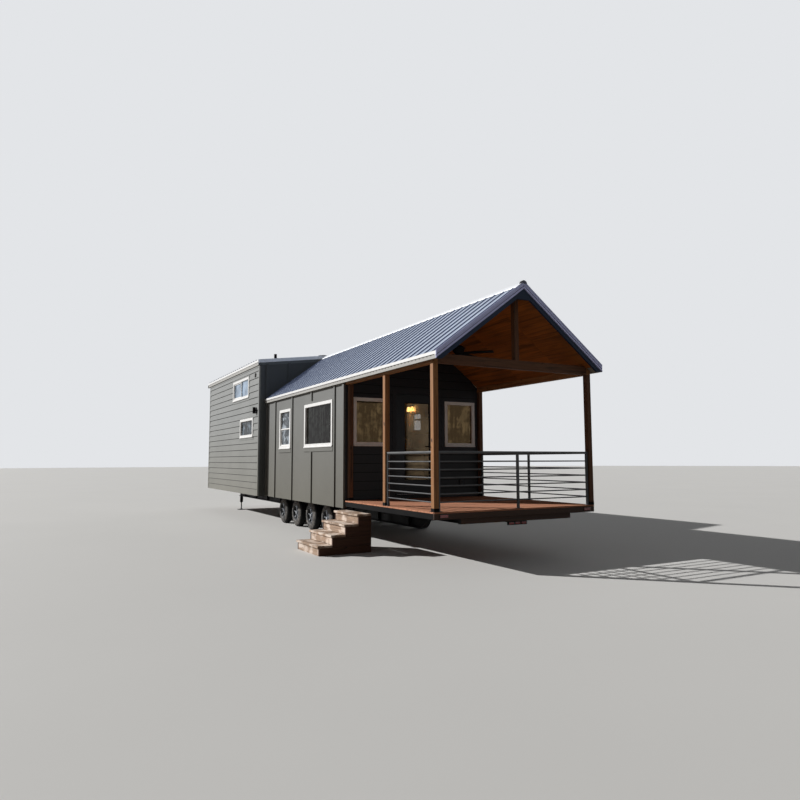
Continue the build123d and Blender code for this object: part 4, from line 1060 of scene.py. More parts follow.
class HouseRoof(bpy.types.Operator):
    """Ribbed sheets of both roofs, their screws, the ridge caps and the vent"""

    bl_idname = "house.roof"
    bl_label = "Roof sheets"

    def execute(self, context):
        rear_run = (REAR_EAVE_X - 0.004) * np.hypot(1, REAR_SLOPE)
        for name, nodes, form in (
                ("roof_sheets_detailed", ["roof_sheets"],
                 (RAKE_Y, REAR, RIDGE_Z - SHEET_DROP, SLOPE, (EAVE_X - 0.010) / ACROSS)),
                ("rear_roof_sheets", [],
                 (REAR, REAR_ROOF_END, REAR_RIDGE_Z, REAR_SLOPE, rear_run, -0.002))):
            slopes, ribs = zip(*[ribbed_sheet(s, *form) for s in (-1, 1)])
            made = piece(name, slopes, coated_steel_roof(), replaces=nodes)
            with_ribs(made, np.concatenate(ribs))
        self.caps()
        self.screws()
        self.vent()
        return {"FINISHED"}

    def caps(self):
        """Folded caps: a shallow V over the ribs, with a hemmed lip at each edge and a round nose."""
        wing = 0.128
        lines = []
        for lift in (0.0, 0.0045):
            x = np.array([-wing, -wing + 0.006, -0.02, 0.0, 0.02, wing - 0.006, wing])
            z = roof_z(x, -RIB_RISE - lift)
            z[3] -= 0.006
            z[[0, -1]] -= 0.010
            lines.append(np.stack([x, z], axis=1))
        section = np.vstack([lines[1], lines[0][::-1]])
        parts = [extruded(section, RAKE_Y, REAR)]
        x = np.array([-0.16, 0.0, 0.16])
        z = rear_z(x, -0.024)
        section = np.vstack([np.stack([x, z + 0.003], axis=1), np.stack([x, z], axis=1)[::-1]])
        parts.append(extruded(section, REAR, REAR_ROOF_END))
        piece("ridge_caps", parts, coated_trim("ridge_steel", colours().cap, 0.4, 0.2),
              replaces=["ridge_cap"])
        t = np.linspace(0, np.pi, 13)
        peak = np.stack([0.062 * np.cos(t), RIDGE_Z - 0.018 + 0.058 * np.sin(t)], axis=1)
        piece("ridge_closure", [extruded(peak, RAKE_Y + 0.0005, RAKE_Y + 0.050)],
              plain("closure_foam", "#26262a", 0.9))

    def screws(self):
        """Hexagonal screw heads with washers in rows across the pans."""
        y = rib_lines(RAKE_Y, REAR) + 0.045
        rows = np.array([0.25, 0.75, 1.25, 1.75, 2.03])
        ring = circle(1.0, 6)
        profile = np.array([[0.008, 0.0], [0.008, 0.0015], [0.0045, 0.002], [0.004, 0.006], [0.0, 0.0065]])
        parts = []
        for side in (-1, 1):
            normal = np.array([side * SLOPE * ACROSS, 0, ACROSS])
            down = np.array([side * ACROSS, 0, -SLOPE * ACROSS])
            along = np.array([0, 1, 0])
            base = np.array([0, 0, RIDGE_Z - SHEET_DROP]) + normal * 0.004
            centre = (base + rows[:, None, None] * down + y[None, :, None] * along).reshape(-1, 1, 1, 3)
            rim = (profile[:, 0, None, None] * (ring[:, :1] * down + ring[:, 1:] * along)
                   + profile[:, 1, None, None] * normal)
            points = centre + rim[None]
            count, rings = len(points), len(profile)
            one = np.array(grid(rings, 6, False))
            faces = (one[None] + (np.arange(count) * rings * 6)[:, None, None]).reshape(-1, 4)
            if side > 0:
                faces = faces[:, ::-1]
            parts.append((points.reshape(-1, 3), faces.tolist(), np.repeat(np.arange(count), rings * 6)))
        piece("roof_screws", parts, coated_trim("screw_heads", "#9aa0a8", 0.35), weld=True)

    def vent(self):
        """A black pipe in a flared boot."""
        x, y = -1.10, REAR + 1.0
        low = rear_z(x)
        profile = [(-0.02, 0.039), (-0.02, 0.075), (0.012, 0.072), (0.03, 0.050), (0.05, 0.0415),
                   (0.25, 0.0395), (0.2475, 0.034), (-0.02, 0.034)]
        piece("vent_pipe", [lathe(profile, (x, y, low), "z", 28)], black_paint(),
              replaces=["roof_vent"], smooth=40)


def gable_run(rows, half):
    """A strip along both slopes of the porch gable, mitred at the ridge.

    Each row is (drop below the pans, y); its line runs at roof_z(x) - drop over x = -half, 0, half.
    """
    drop, y = np.array(rows, float).T
    x = np.array([-half, 0.0, half])
    points = np.stack([x[:, None] + 0 * drop, y + 0 * x[:, None], roof_z(x)[:, None] - drop], axis=2)
    return capped(points)


class HouseRoofTrim(bpy.types.Operator):
    """Rake trim, gable boards, eave trims and the rear roof's edges"""

    bl_idname = "house.roof_trim"
    bl_label = "Roof trim"

    def execute(self, context):
        y, reach = RAKE_Y, EAVE_X
        upper = [(-0.028, y + 0.004), (-0.026, y), (-0.016, y), (-0.013, y + 0.004), (0.044, y + 0.004),
                 (0.048, y + 0.012), (0.058, y + 0.012), (0.058, y + 0.019), (-0.028, y + 0.019)]
        lower = [(0.052, y + 0.0122), (0.058, y + 0.004), (0.088, y + 0.001), (0.094, y + 0.004),
                 (0.098, y + 0.013), (0.098, y + 0.019), (0.052, y + 0.019)]
        groove = [(0.046, y + 0.009), (0.059, y + 0.009), (0.059, y + 0.011), (0.046, y + 0.011)]
        steel = coated_trim("rake_steel", colours().rake, 0.38, 0.35)
        lip = coated_trim("rake_lip", darker(colours().rake, 1.06), 0.38, 0.35)
        piece("rake_trim_detailed", [gable_run(upper, reach)], steel, replaces=["rake_trim"])
        piece("rake_trim_lower", [gable_run(lower, reach)], lip)
        # A dark strip in the groove between the rake's two folds: painted shade.
        piece("rake_groove", [gable_run(groove, reach - 0.001)], painted_groove_shade())
        self.gable_boards()
        self.eaves()
        self.rear_edges()
        return {"FINISHED"}

    def gable_boards(self):
        """Two boards that meet over a level gusset, with level-cut tails."""
        y0, y1 = RAKE_Y + 0.019, RAKE_Y + 0.054
        tail, foot, gusset = EAVE_X - 0.020, 3.128, RIDGE_Z - 0.278
        inner = (RIDGE_Z - 0.182 - foot) / SLOPE
        peak = (RIDGE_Z - 0.182 - gusset) / SLOPE
        parts = []
        for s in (-1, 1):
            for (x0, z0), (x1, z1) in (((tail, foot), (inner, foot)), ((inner, foot), (peak, gusset)),
                                       ((peak, gusset), (0, gusset))):
                quad = [(x0, z0), (x1, z1), (x1, roof_z(x1, 0.005)), (x0, roof_z(x0, 0.005))]
                parts.append(bar(quad, y0, y1, s))
        # The boards' dark paint is painted shade on the gable's front.
        piece("gable_boards", parts, painted_siding("gable_paint", colours().gable, "x"),
              replaces=["rake_boards"])

    def eaves(self):
        """A white drip band over a grey band with painted shade in the seam between them and on a shallow
        bead every 115 mm, and a block at the front.
        """
        outer, inner = EAVE_X, EAVE_X - 0.020
        top, low = EAVE_Z - 0.006, EAVE_Z - 0.096
        upper = [(inner, top - 0.028), (outer - 0.002, top - 0.028), (outer, top - 0.024),
                 (outer, top + 0.022), (outer - 0.003, top + 0.024), (outer - 0.006, top + 0.022),
                 (outer - 0.006, top), (inner, top)]
        lower = [(inner, low), (outer - 0.006, low), (outer - 0.008, low + 0.004),
                 (outer - 0.008, top - 0.036), (outer - 0.014, top - 0.0365), (inner, top - 0.0365)]
        # A dark strip under the white band: painted shade in the seam.
        line = [(inner, top - 0.036), (outer - 0.0075, top - 0.036), (outer - 0.0075, top - 0.0285),
                (inner, top - 0.0285)]
        white, grey, dark = [], [], []
        beads = np.arange(RAKE_Y + 0.16, REAR - 0.02, 0.115)
        front = RAKE_Y + 0.0195
        for s in (-1, 1):
            for band, section in ((white, upper), (grey, lower), (dark, line)):
                band.append(extruded(np.array(section) * [s, 1], RAKE_Y + 0.055, REAR))
            # Dark beads along the grey band: painted shade.
            bead = span(s, outer - 0.0095, outer - 0.0035)
            dark.append(boxes([(*bead, y, y + 0.022, top - 0.044, top - 0.036) for y in beads]))
            block = span(s, outer - 0.056, outer)
            white.append(boxes([(*block, front, RAKE_Y + 0.056, top - 0.040, top + 0.022)]))
            block = span(s, outer - 0.056, outer - 0.002)
            grey.append(boxes([(*block, RAKE_Y + 0.0200, RAKE_Y + 0.0555, low - 0.002, top - 0.040)]))
            grey.append(boxes([(*span(s, HALF, inner), PORCH, REAR, low, low + 0.012)]))
        piece("eave_trims_detailed", white, white_trim(), replaces=["eave_trims"],
              bevel=0.001)
        piece("eave_trims_lower", grey, grey_trim())
        piece("eave_trims_seam", dark, painted_groove_shade())

    def rear_edges(self):
        """The rear roof's slab, with a white drip band and a grey board along each eave and a gable trim."""
        slab, white, grey, rakes, friezes = [], [], [], [], []
        edge, x = REAR_EAVE_X, REAR_EAVE_X - 0.020
        y0, y1 = REAR, REAR_ROOF_END
        top, low = rear_z(edge, 0.004), rear_z(edge, REAR_ROOF - 0.006)
        upper = [(x - 0.002, top - 0.062), (edge - 0.003, top - 0.062), (edge, top - 0.056), (edge, top),
                 (x - 0.002, top)]
        lower = [(x - 0.002, low), (edge - 0.012, low), (edge - 0.012, top - 0.068),
                 (x - 0.002, top - 0.068)]

        def block(inner, outer, high, deep, front, back):
            quad = [(inner, rear_z(inner, deep)), (outer, rear_z(outer, deep)), (outer, rear_z(outer, high)),
                    (inner, rear_z(inner, high))]
            return bar(quad, front, back, s)

        for s in (-1, 1):
            slab.append(block(0, x, 0.0, REAR_ROOF, y0, y1 - 0.020))
            white.append(extruded(np.array(upper) * [s, 1], y0 - 0.020, y1 - 0.020))
            grey.append(extruded(np.array(lower) * [s, 1], y0, y1 - 0.020))
            for front, back, inner, lead in ((y0 - 0.024, y0, DORMER_INNER, 0.006),
                                             (y1, y1 - 0.020, 0.0, -0.006)):
                rakes.append(block(0.0, edge, -0.004, 0.086, front, back))
                friezes.append(block(inner, edge, 0.086, REAR_ROOF + 0.012, front + lead, back))
        piece("rear_roof_slab", slab, soffit_paint(),
              replaces=["rear_roof_left", "rear_roof_right"])
        piece("rear_eave_bands", white, white_trim())
        piece("rear_eave_boards", grey, grey_trim())
        piece("rear_gable_trims", rakes, coated_trim("rear_rake_metal", "#dde4ee", 0.38, 0.2),
              bevel=0.001)
        piece("rear_gable_friezes", friezes,
              painted_siding("painted_frieze", darker(colours().dormer, 1.25), "x"), bevel=0.001)


class HousePorchTimber(bpy.types.Operator):
    """Posts, beams, king post and post bases of the porch"""

    bl_idname = "house.porch_timber"
    bl_label = "Porch timber"

    def execute(self, context):
        post, beam_low, tie_top = POST, BEAM_LOW, 3.242
        inner = HALF - post
        spots = [(-HALF, 0.0), (-HALF, MIDDLE_POST_END), (0.050 - HALF, PORCH - post), (inner, 0.0),
                 (inner, PORCH - post)]
        rows = [(x, x + post, y, y + post, DECK + 0.025, beam_low) for x, y in spots]
        piece("porch_posts_detailed", [boxes(rows[:2])], timber_along("z"),
              replaces=["porch_posts"], bevel=0.005)
        # The post by the left wall and the two right posts take the darker timber as painted shade.
        piece("porch_posts_stained", [boxes(rows[2:])], shade_darkened_timber("z"), bevel=0.005)
        bases = []
        for x, y in spots:
            bases.append(boxes([(x + 0.006, x + post - 0.006, y + 0.006, y + post - 0.006,
                                 DECK, DECK + 0.025)]))
            near, far = max(y - 0.002, 0.0), min(y + post + 0.002, PORCH - 0.026)
            bases.append(boxes([(x - 0.002, x + post + 0.002, near, far, DECK + 0.001, DECK + 0.055)]))
        piece("post_bases_detailed", bases, black_paint(), replaces=["post_bases"],
              bevel=0.001)
        low = SLAB_DROP + 0.018 / ACROSS
        shoulder = (RIDGE_Z - low - tie_top) / SLOPE
        header = [(HALF, beam_low), (inner, beam_low), (inner, roof_z(inner, SLAB_DROP)),
                  (HALF, roof_z(HALF, SLAB_DROP))]
        tie = [(shoulder, beam_low), (inner, beam_low), (inner, roof_z(inner, low)), (shoulder, tie_top)]
        headers = [bar(header, 0.0, PORCH, s) for s in (-1, 1)]
        piece("header_beams_detailed", headers, timber_along("y"), replaces=["header_beams"],
              bevel=0.004)
        ties = [bar(tie, 0.0, post, s) for s in (-1, 1)]
        ties.append(boxes([(-shoulder, shoulder, 0.0, post, beam_low, tie_top)]))
        # The tie beam and the king post take the darker timber as painted shade on their front faces.
        piece("tie_beam_detailed", ties, shade_darkened_timber("x"), replaces=["tie_beam"])
        half, foot = post / 2, tie_top - 0.035
        halves = [[[s * half, y, foot], [0, y, foot],
                   [0, y, roof_z(0, low)], [s * half, y, roof_z(half, low)]]
                  for s in (-1, 1) for y in (0.002, post - 0.002)]
        piece("king_post_detailed", [hexes(halves)], shade_darkened_timber("z"), replaces=["king_post"])
        return {"FINISHED"}


class HousePorchCeiling(bpy.types.Operator):
    """Stained plywood sheets under the porch roof, with a seam halfway up and cross joints"""

    bl_idname = "house.porch_ceiling"
    bl_label = "Porch ceiling"

    def execute(self, context):
        inner = HALF - POST
        high, low = SLAB_DROP, SLAB_DROP + 0.018 / ACROSS
        start_y = RAKE_Y + 0.054
        joints = [start_y, 0.62, 1.84, PORCH]
        gap = 0.0015
        rings = []
        for s in (-1, 1):
            for x0, x1 in ((gap, inner * 0.5 - gap), (inner * 0.5 + gap, inner)):
                for y0, y1 in zip(joints, joints[1:]):
                    far = y1 + 0.004 if y1 == PORCH else y1 - gap
                    rings.append([[s * x, y, roof_z(x, d)] for d in (low, high)
                                  for x, y in ((x0, y0 + gap), (x1, y0 + gap), (x1, far), (x0, far))])
        piece("porch_ceiling_sheets", [hexes(np.array(rings))], stained_plywood(),
              replaces=["porch_ceiling"], bevel=0.002)
        return {"FINISHED"}


class HouseDeck(bpy.types.Operator):
    """Deck boards across the porch, the front fascia and the steel rims"""

    bl_idname = "house.deck"
    bl_label = "Porch deck"

    def execute(self, context):
        board = sizes().board
        count = int(PORCH // board)
        pitch = PORCH / count
        luck = np.random.default_rng(4)
        y = pitch * np.arange(count)
        lift = luck.uniform(-0.0012, 0.0, count)
        rows = np.stack([np.full(count, -HALF), np.full(count, HALF), y, y + pitch - 0.005,
                         np.full(count, DECK - 0.025), DECK + lift], axis=1)
        wood = timber("oiled_deck", "x", colours().deck, darker(colours().deck, 0.62), 0.7, sheen=0.0)
        piece("deck_boards", [boxes(rows)], wood, replaces=["porch_deck"], bevel=0.003)
        top = DECK - 0.025
        rows = [(-HALF, HALF, 0.0, 0.038, top - 0.091, top - 0.0005),
                (-1.105, 1.105, 0.040, 0.0598, 0.635, 0.7235)]
        # The fascia's dark colour is painted shade on the deck's front.
        fascia = timber("shade_darkened_fascia", "x", colours().fascia, darker(colours().fascia, 0.55))
        piece("deck_fascia_board", [boxes(rows)], fascia, replaces=["deck_fascia"], bevel=0.004)
        low, lip = top - 0.087, HALF - 0.040
        section = [(HALF, low), (HALF, top), (lip, top), (lip, top - 0.006), (HALF - 0.006, top - 0.006),
                   (HALF - 0.006, low + 0.006), (lip, low + 0.006), (lip, low)]
        parts = [extruded(np.array(section) * [s, 1], 0.040, PORCH) for s in (-1, 1)]
        piece("deck_rim_channels", parts, black_paint(), replaces=["deck_side_rims"])
        return {"FINISHED"}


def railing(run, posts):
    """A railing along Y from 0: a flat cap, six round-edged bars and square posts with foot plates."""
    cap, bar_z = DECK + 0.914, DECK + 0.140 + 0.1225 * np.arange(6)
    parts = [sweep([(0, 0, cap - 0.020), (0, run, cap - 0.020)], rounded(0.040, 0.040, 0.006))]
    parts += [sweep([(0, 0.02, z), (0, run - 0.02, z)], rounded(0.020, 0.020, 0.005)) for z in bar_z]
    for y in posts:
        upright = [(0, y, DECK + 0.004), (0, y, cap - 0.041)]
        parts.append(sweep(upright, rounded(0.038, 0.038, 0.004), up=(0, 1, 0)))
        low, high = max(y - 0.045, 0.0), min(y + 0.045, run)
        parts.append(boxes([(-0.034, 0.034, low, high, DECK, DECK + 0.006)]))
    return parts


def moved(parts, place, turn=False):
    """Surfaces along Y carried to place, and turned to run along -X if asked."""
    found = []
    for points, faces, boards in parts:
        if turn:
            points = points[:, [1, 0, 2]] * [-1, 1, 1]
        found.append((points + np.array(place), faces, boards))
    return found


class HouseRailings(bpy.types.Operator):
    """The porch's three steel railings"""

    bl_idname = "house.railings"
    bl_label = "Railings"

    def execute(self, context):
        post, half = POST, 0.019
        paint = black_paint("railing_black", colours().railing, 0.48, 0.5)
        x = HALF - post / 2
        left, right, front = MIDDLE_POST_END - post, PORCH - 2 * post, 2 * HALF - 2 * post
        for side, run, middle, place in (
                ("left", left, [], (-x, post, 0)), ("right", right, [right / 2], (x, post, 0)),
                ("front", front, [front / 2], (HALF - post, post / 2, 0))):
            parts = moved(railing(run, [half, *middle, run - half]), place, turn=side == "front")
            piece(f"railing_{side}_detailed", parts, paint, replaces=[f"railing_{side}"],
                  smooth=35)
        return {"FINISHED"}


class HouseFan(bpy.types.Operator):
    """The porch's ceiling fan"""

    bl_idname = "house.fan"
    bl_label = "Ceiling fan"

    def execute(self, context):
        y, hub_top, blade_z = 1.720, 3.770, 3.615
        black = plain("fan_enamel", "#070707", 0.6, Specular_IOR_Level=0.08)
        high = roof_z(0.065, CEILING_DROP)
        rod = [(hub_top + 0.0003, 0.001), (hub_top + 0.0003, 0.022), (hub_top + 0.03, 0.020),
               (hub_top + 0.035, 0.013), (high - 0.075, 0.013), (high - 0.065, 0.030), (high - 0.045, 0.055),
               (high - 0.002, 0.065), (high + 0.030, 0.030), (high + 0.030, 0.001)]
        piece("fan_rod", [lathe(rod, (0, y, 0), "z", 32)], black, replaces=["fan_mount"],
              smooth=40, weld=True)
        hub = [(hub_top, 0.001), (hub_top, 0.040), (hub_top - 0.02, 0.085), (hub_top - 0.045, 0.108),
               (hub_top - 0.115, 0.110), (hub_top - 0.135, 0.095), (hub_top - 0.140, 0.075),
               (blade_z - 0.012, 0.070), (blade_z - 0.0275, 0.050), (blade_z - 0.0275, 0.001)]
        parts = [lathe(hub, (0, y, 0), "z", 40)]
        parts += [self.blade(np.radians(72 * k - 46), y, blade_z) for k in range(5)]
        piece("fan_blades", parts, black, body="fan", replaces=["fan_rotor"], smooth=40,
              weld=True)
        return {"FINISHED"}

    def blade(self, turn, y, z):
        """A blade pitched by 10 degrees: half width w(r) widens from the iron and ends square."""
        r = np.concatenate([[0.075, 0.10, 0.12], np.linspace(0.135, 0.62, 6), [0.645, 0.655, 0.66]])
        w = np.array([0.026, 0.034, 0.050, 0.0605, 0.0615, *[0.0625] * 5, 0.060, 0.052])
        side = np.array([-1.0, 1.0, 1.0, -1.0])
        lift = np.array([-0.004, -0.004, 0.004, 0.004])
        pitch = np.radians(-10)
        across = w[:, None] * side
        local = np.stack([r[:, None] + 0 * across, across * np.cos(pitch) - lift * np.sin(pitch),
                          across * np.sin(pitch) + lift * np.cos(pitch)], axis=2)
        c, s = np.cos(turn), np.sin(turn)
        points = np.stack([local[..., 0] * c - local[..., 1] * s, y + local[..., 0] * s + local[..., 1] * c,
                           z + local[..., 2]], axis=2)
        return capped(points)


class HouseSteps(bpy.types.Operator):
    """The loose wooden steps: treads of two boards, risers and boarded sides"""

    bl_idname = "house.steps"
    bl_label = "Entry steps"

    def execute(self, context):
        run, rise, count, middle, half = 0.245, DECK / 5, 4, 2.640, 0.530
        y0, y1 = middle - half, middle + half
        foot = -HALF - 0.008 - count * run
        wood = timber("weathered_treads", "y", colours().steps, darker(colours().steps, 0.66), 0.75,
                      worn="#efe0d2")
        treads, risers = [], []
        for i in range(count):
            x, z = foot + i * run, rise * (i + 1)
            mid = x + run / 2 - 0.014
            treads += [(x - 0.028, mid - 0.002, y0, y1, z - 0.038, z),
                       (mid + 0.002, x + run - 0.001, y0, y1, z - 0.038, z - 0.0005)]
            risers.append((x + 0.001, x + 0.038, y0 + 0.0385, y1 - 0.0385, rise * i + 0.0005, z - 0.0385))
        piece("step_treads_detailed", [boxes(treads)], wood, replaces=["step_treads"],
              bevel=0.004)
        piece("step_risers_detailed", [boxes(risers)], wood, replaces=["step_risers"],
              bevel=0.003)
        sides = []
        for a, b in ((y0, y0 + 0.038), (y1 - 0.038, y1)):
            for k in range(count):
                x0 = foot + k * run
                low = rise * k + (0.0005 if k == 0 else -0.037)
                high = rise * (k + 1) - 0.0385
                sides.append((x0, foot + count * run, a, b, low, high - 0.0006))
        # The sides take the treads' wood darkened as painted shade.
        pale = colours().steps_side
        stain = timber("shade_darkened_step_side", "x", pale, darker(pale, 0.6), 0.7)
        piece("step_sides_detailed", [boxes(sides)], stain, replaces=["step_sides"],
              bevel=0.002)
        return {"FINISHED"}


class HouseWheels(bpy.types.Operator):
    """Eight trailer wheels: grooved tyres on six-spoke rims"""

    bl_idname = "house.wheels"
    bl_label = "Wheels"

    def execute(self, context):
        for number, y in enumerate(AXLES, 1):
            for word, s in (("left", -1), ("right", 1)):
                self.tyre(f"wheel_{word}_{number}", s, y)
                self.rim(f"wheel_{word}_{number}", s, y)
        return {"FINISHED"}

    def tyre(self, name, s, y):
        """Radius R(a, t) dips 8 mm in three grooves round the tyre and 5 mm in slots at its edges."""
        a = np.array([0.0, 0.006, 0.018, 0.030, 0.040, 0.052, 0.054, 0.062, 0.064, 0.098, 0.099, 0.106,
                      0.107, 0.141, 0.143, 0.151, 0.153, 0.165, 0.175, 0.187, 0.199, 0.205])
        half = [0.215, 0.262, 0.299, 0.320, 0.331, 0.3345, 0.327, 0.327, 0.335, 0.335, 0.327]
        r = np.array(half + half[::-1])
        steps = 216
        t = np.linspace(0, 2 * np.pi, steps, endpoint=False)
        slots = (np.arange(steps) % 4 == 0)
        edge = ((a < 0.052) & (a > 0.02)) | ((a > 0.153) & (a < 0.185))
        along = np.concatenate([a, [0.203, 0.196, 0.190, 0.015, 0.009, 0.002]])
        inside = np.array([0.196, 0.190, 0.182, 0.182, 0.190, 0.196])[:, None] + 0 * t
        radius = np.vstack([r[:, None] - 0.005 * edge[:, None] * slots[None], inside])
        x = s * (WHEEL_FACE - TYRE_WIDTH + along)
        points = np.stack([x[:, None] + 0 * t, y + radius * np.cos(t),
                           WHEEL_RADIUS + radius * np.sin(t)], axis=2)
        surface = facing_out(points.reshape(-1, 3), grid(len(along), steps))
        made = piece(name + "_tyre", [surface], tyre_rubber(), body=name, replaces=[name],
                     smooth=50)
        outward = (along > 0.180) | (along < 0.025)
        with_ribs(made, np.repeat(outward.astype(float), steps))

    def rim(self, name, s, y):
        """A barrel with a rolled lip, six tapered spokes, a hub cap and lug nuts, and the black brake
        housing, which also lines the barrel's inside as painted shade between the spokes.
        """
        centre = (s * WHEEL_FACE, y, WHEEL_RADIUS)
        lip = [(0.0, 0.180), (-0.002, 0.186), (-0.008, 0.187), (-0.012, 0.180), (-0.040, 0.160),
               (-0.190, 0.160), (-0.200, 0.184), (-0.204, 0.184), (-0.203, 0.156), (-0.040, 0.153),
               (-0.010, 0.170)]
        hub = [(-0.080, 0.001), (-0.080, 0.058), (-0.052, 0.060), (-0.046, 0.056), (-0.044, 0.040),
               (-0.022, 0.038), (-0.014, 0.034), (-0.011, 0.024), (-0.010, 0.001)]
        nut = [(-0.050, 0.001), (-0.050, 0.010), (-0.034, 0.009), (-0.028, 0.005), (-0.027, 0.001)]
        # Its profile runs out over the barrel's inside: black painted shade between the spokes.
        drum_and_barrel_shade = [(-0.100, 0.001), (-0.100, 0.1525), (-0.041, 0.1525), (-0.012, 0.1690), (0.0002, 0.1815),
                (0.0012, 0.1830), (-0.0070, 0.1675), (-0.040, 0.1495), (-0.092, 0.147), (-0.094, 0.120),
                (-0.086, 0.060), (-0.086, 0.001)]
        turns = np.radians(60 * np.arange(6))
        parts = [lathe(mirrored(lip, s), centre, "x", 72)]
        parts += [self.spoke(centre, s, turn) for turn in turns + np.radians(12)]
        parts.append(lathe(mirrored(hub, s), centre, "x", 40))
        for turn in turns + np.radians(42):
            place = centre + 0.048 * np.array([0, np.cos(turn), np.sin(turn)])
            parts.append(lathe(mirrored(nut, s), place, "x", 6))
        piece(name + "_rim", parts, machined_aluminium(), body=name, smooth=35, weld=True)
        piece(name + "_drum", [lathe(mirrored(drum_and_barrel_shade, s), centre, "x", 48)],
              plain("brake_black_and_barrel_shade", "#0b0b0c", 0.8), body=name, smooth=35, weld=True)

    def spoke(self, centre, s, turn):
        """A spoke: half width 17 mm less 6 mm * sin(pi * t), and a face that comes out by 18 mm * t^2."""
        t = np.linspace(0, 1, 7)
        section = np.array([(-1, 0.0), (-0.6, 0.010), (0.6, 0.010), (1, 0.0), (0.7, -0.026), (-0.7, -0.026)])
        across = (0.017 - 0.006 * np.sin(np.pi * t))[:, None] * section[:, 0]
        depth = (-0.050 + 0.018 * t ** 2)[:, None] + section[:, 1]
        radial = (0.040 + (0.158 - 0.040) * t)[:, None] + 0 * across
        return capped(centre + np.stack([s * depth, radial * np.cos(turn) - across * np.sin(turn),
                                         radial * np.sin(turn) + across * np.cos(turn)], axis=2))


class HouseTrailer(bpy.types.Operator):
    """Axles, leaf springs, hangers, rails and rear jacks"""

    bl_idname = "house.trailer"
    bl_label = "Trailer"

    def execute(self, context):
        paint = black_paint()
        axle = [(-1.0995, 0.001), (-1.0995, 0.030), (-1.06, 0.038), (1.06, 0.038), (1.0995, 0.030),
                (1.0995, 0.001)]
        bolt = [(-0.036, 0.001), (-0.036, 0.012), (0.036, 0.012), (0.036, 0.001)]
        t = np.linspace(-1, 1, 13)
        parts = []
        for y in AXLES:
            parts.append(lathe(axle, (0, y, WHEEL_RADIUS), "x", 28))
            for x in (-RAIL_X, RAIL_X):
                for leaf in range(4):
                    reach = (0.300 - 0.055 * leaf) * t
                    sag = 0.262 + 0.009 * leaf + 0.020 * (reach / 0.3) ** 2
                    path = np.stack([x + 0 * t, y + reach, sag], axis=1)
                    parts.append(sweep(path, rounded(0.058, 0.008, 0.001, 2)))
                for centre in (y - 0.295, y + 0.295):
                    near, far = centre - 0.025, centre + 0.025
                    parts.append(boxes([(x + a, x + a + 0.008, near, far, 0.262, RAIL_LOW)
                                        for a in (-0.030, 0.022)]))
                    parts.append(lathe(bolt, (x, centre, 0.284), "x", 6))
                parts.append(boxes([(x - 0.030, x + 0.030, y - 0.045, y + 0.045, 0.286, 0.302)]))
        piece("springs_and_axles", parts, paint, replaces=["running_gear"], smooth=35,
              weld=True)
        self.rails(paint)
        self.jacks(paint)
        return {"FINISHED"}

    def rails(self, paint):
        """I beams with raised noses and web stiffeners."""
        flange = BELLY - 0.012
        line = np.array([(RAIL_START, NOSE_LOW), (1.080, NOSE_LOW), (1.160, NOSE_LOW - 0.035),
                         (1.360, RAIL_LOW + 0.025), (1.440, RAIL_LOW), (RAIL_END, RAIL_LOW)])
        half = np.array([(0.050, 0.0), (0.050, 0.012), (0.012, 0.016), (0.007, 0.022)])
        rise = np.vstack([half, half[::-1] * [-1, 1]])
        web = np.vstack([line, [(RAIL_END, flange), (RAIL_START, flange)]])
        ribs = np.arange(1.8, 13.2, 1.2)
        parts = []
        for x in (-RAIL_X, RAIL_X):
            parts.append(capped(np.stack([x + rise[None, :, 0] + 0 * line[:, :1],
                                          line[:, :1] + 0 * rise[None, :, 0],
                                          line[:, 1:] + rise[None, :, 1]], axis=2)))
            parts.append(capped(np.stack([np.insert(web, 0, x + a, axis=1) for a in (-0.007, 0.007)])))
            parts.append(boxes([(x - 0.050, x + 0.050, RAIL_START, RAIL_END, flange, BELLY)]))
            parts.append(boxes([(x - 0.046, x + 0.046, y, y + 0.008, RAIL_LOW + 0.014, BELLY - 0.014)
                                for y in ribs]))
        piece("rail_beams", parts, paint, replaces=["main_rails"])

    def jacks(self, paint):
        """The rear jacks: square legs on threaded screws, with nuts and foot plates."""
        screw_z = np.linspace(0.012, 0.250, 57)
        thread = 0.016 + 0.003 * (np.arange(57) % 2)
        screw = [(screw_z[0], 0.001), *zip(screw_z, thread), (screw_z[-1], 0.001)]
        foot = [(0.012, 0.001), (0.012, 0.045), (0.030, 0.040), (0.034, 0.001)]
        nut = [(0.238, 0.001), (0.238, 0.030), (0.262, 0.030), (0.262, 0.001)]
        y, parts = 13.200, []
        for x in (-RAIL_X, RAIL_X):
            parts.append(boxes([(x - 0.110, x + 0.110, y - 0.110, y + 0.110, 0.0, 0.012),
                                (x - 0.040, x + 0.040, y - 0.040, y + 0.040, 0.250, RAIL_LOW)]))
            parts += [lathe(profile, (x, y, 0), "z", steps)
                      for profile, steps in ((screw, 20), (foot, 24), (nut, 6))]
        piece("jacks_detailed", parts, paint, replaces=["rear_jacks"], weld=True)


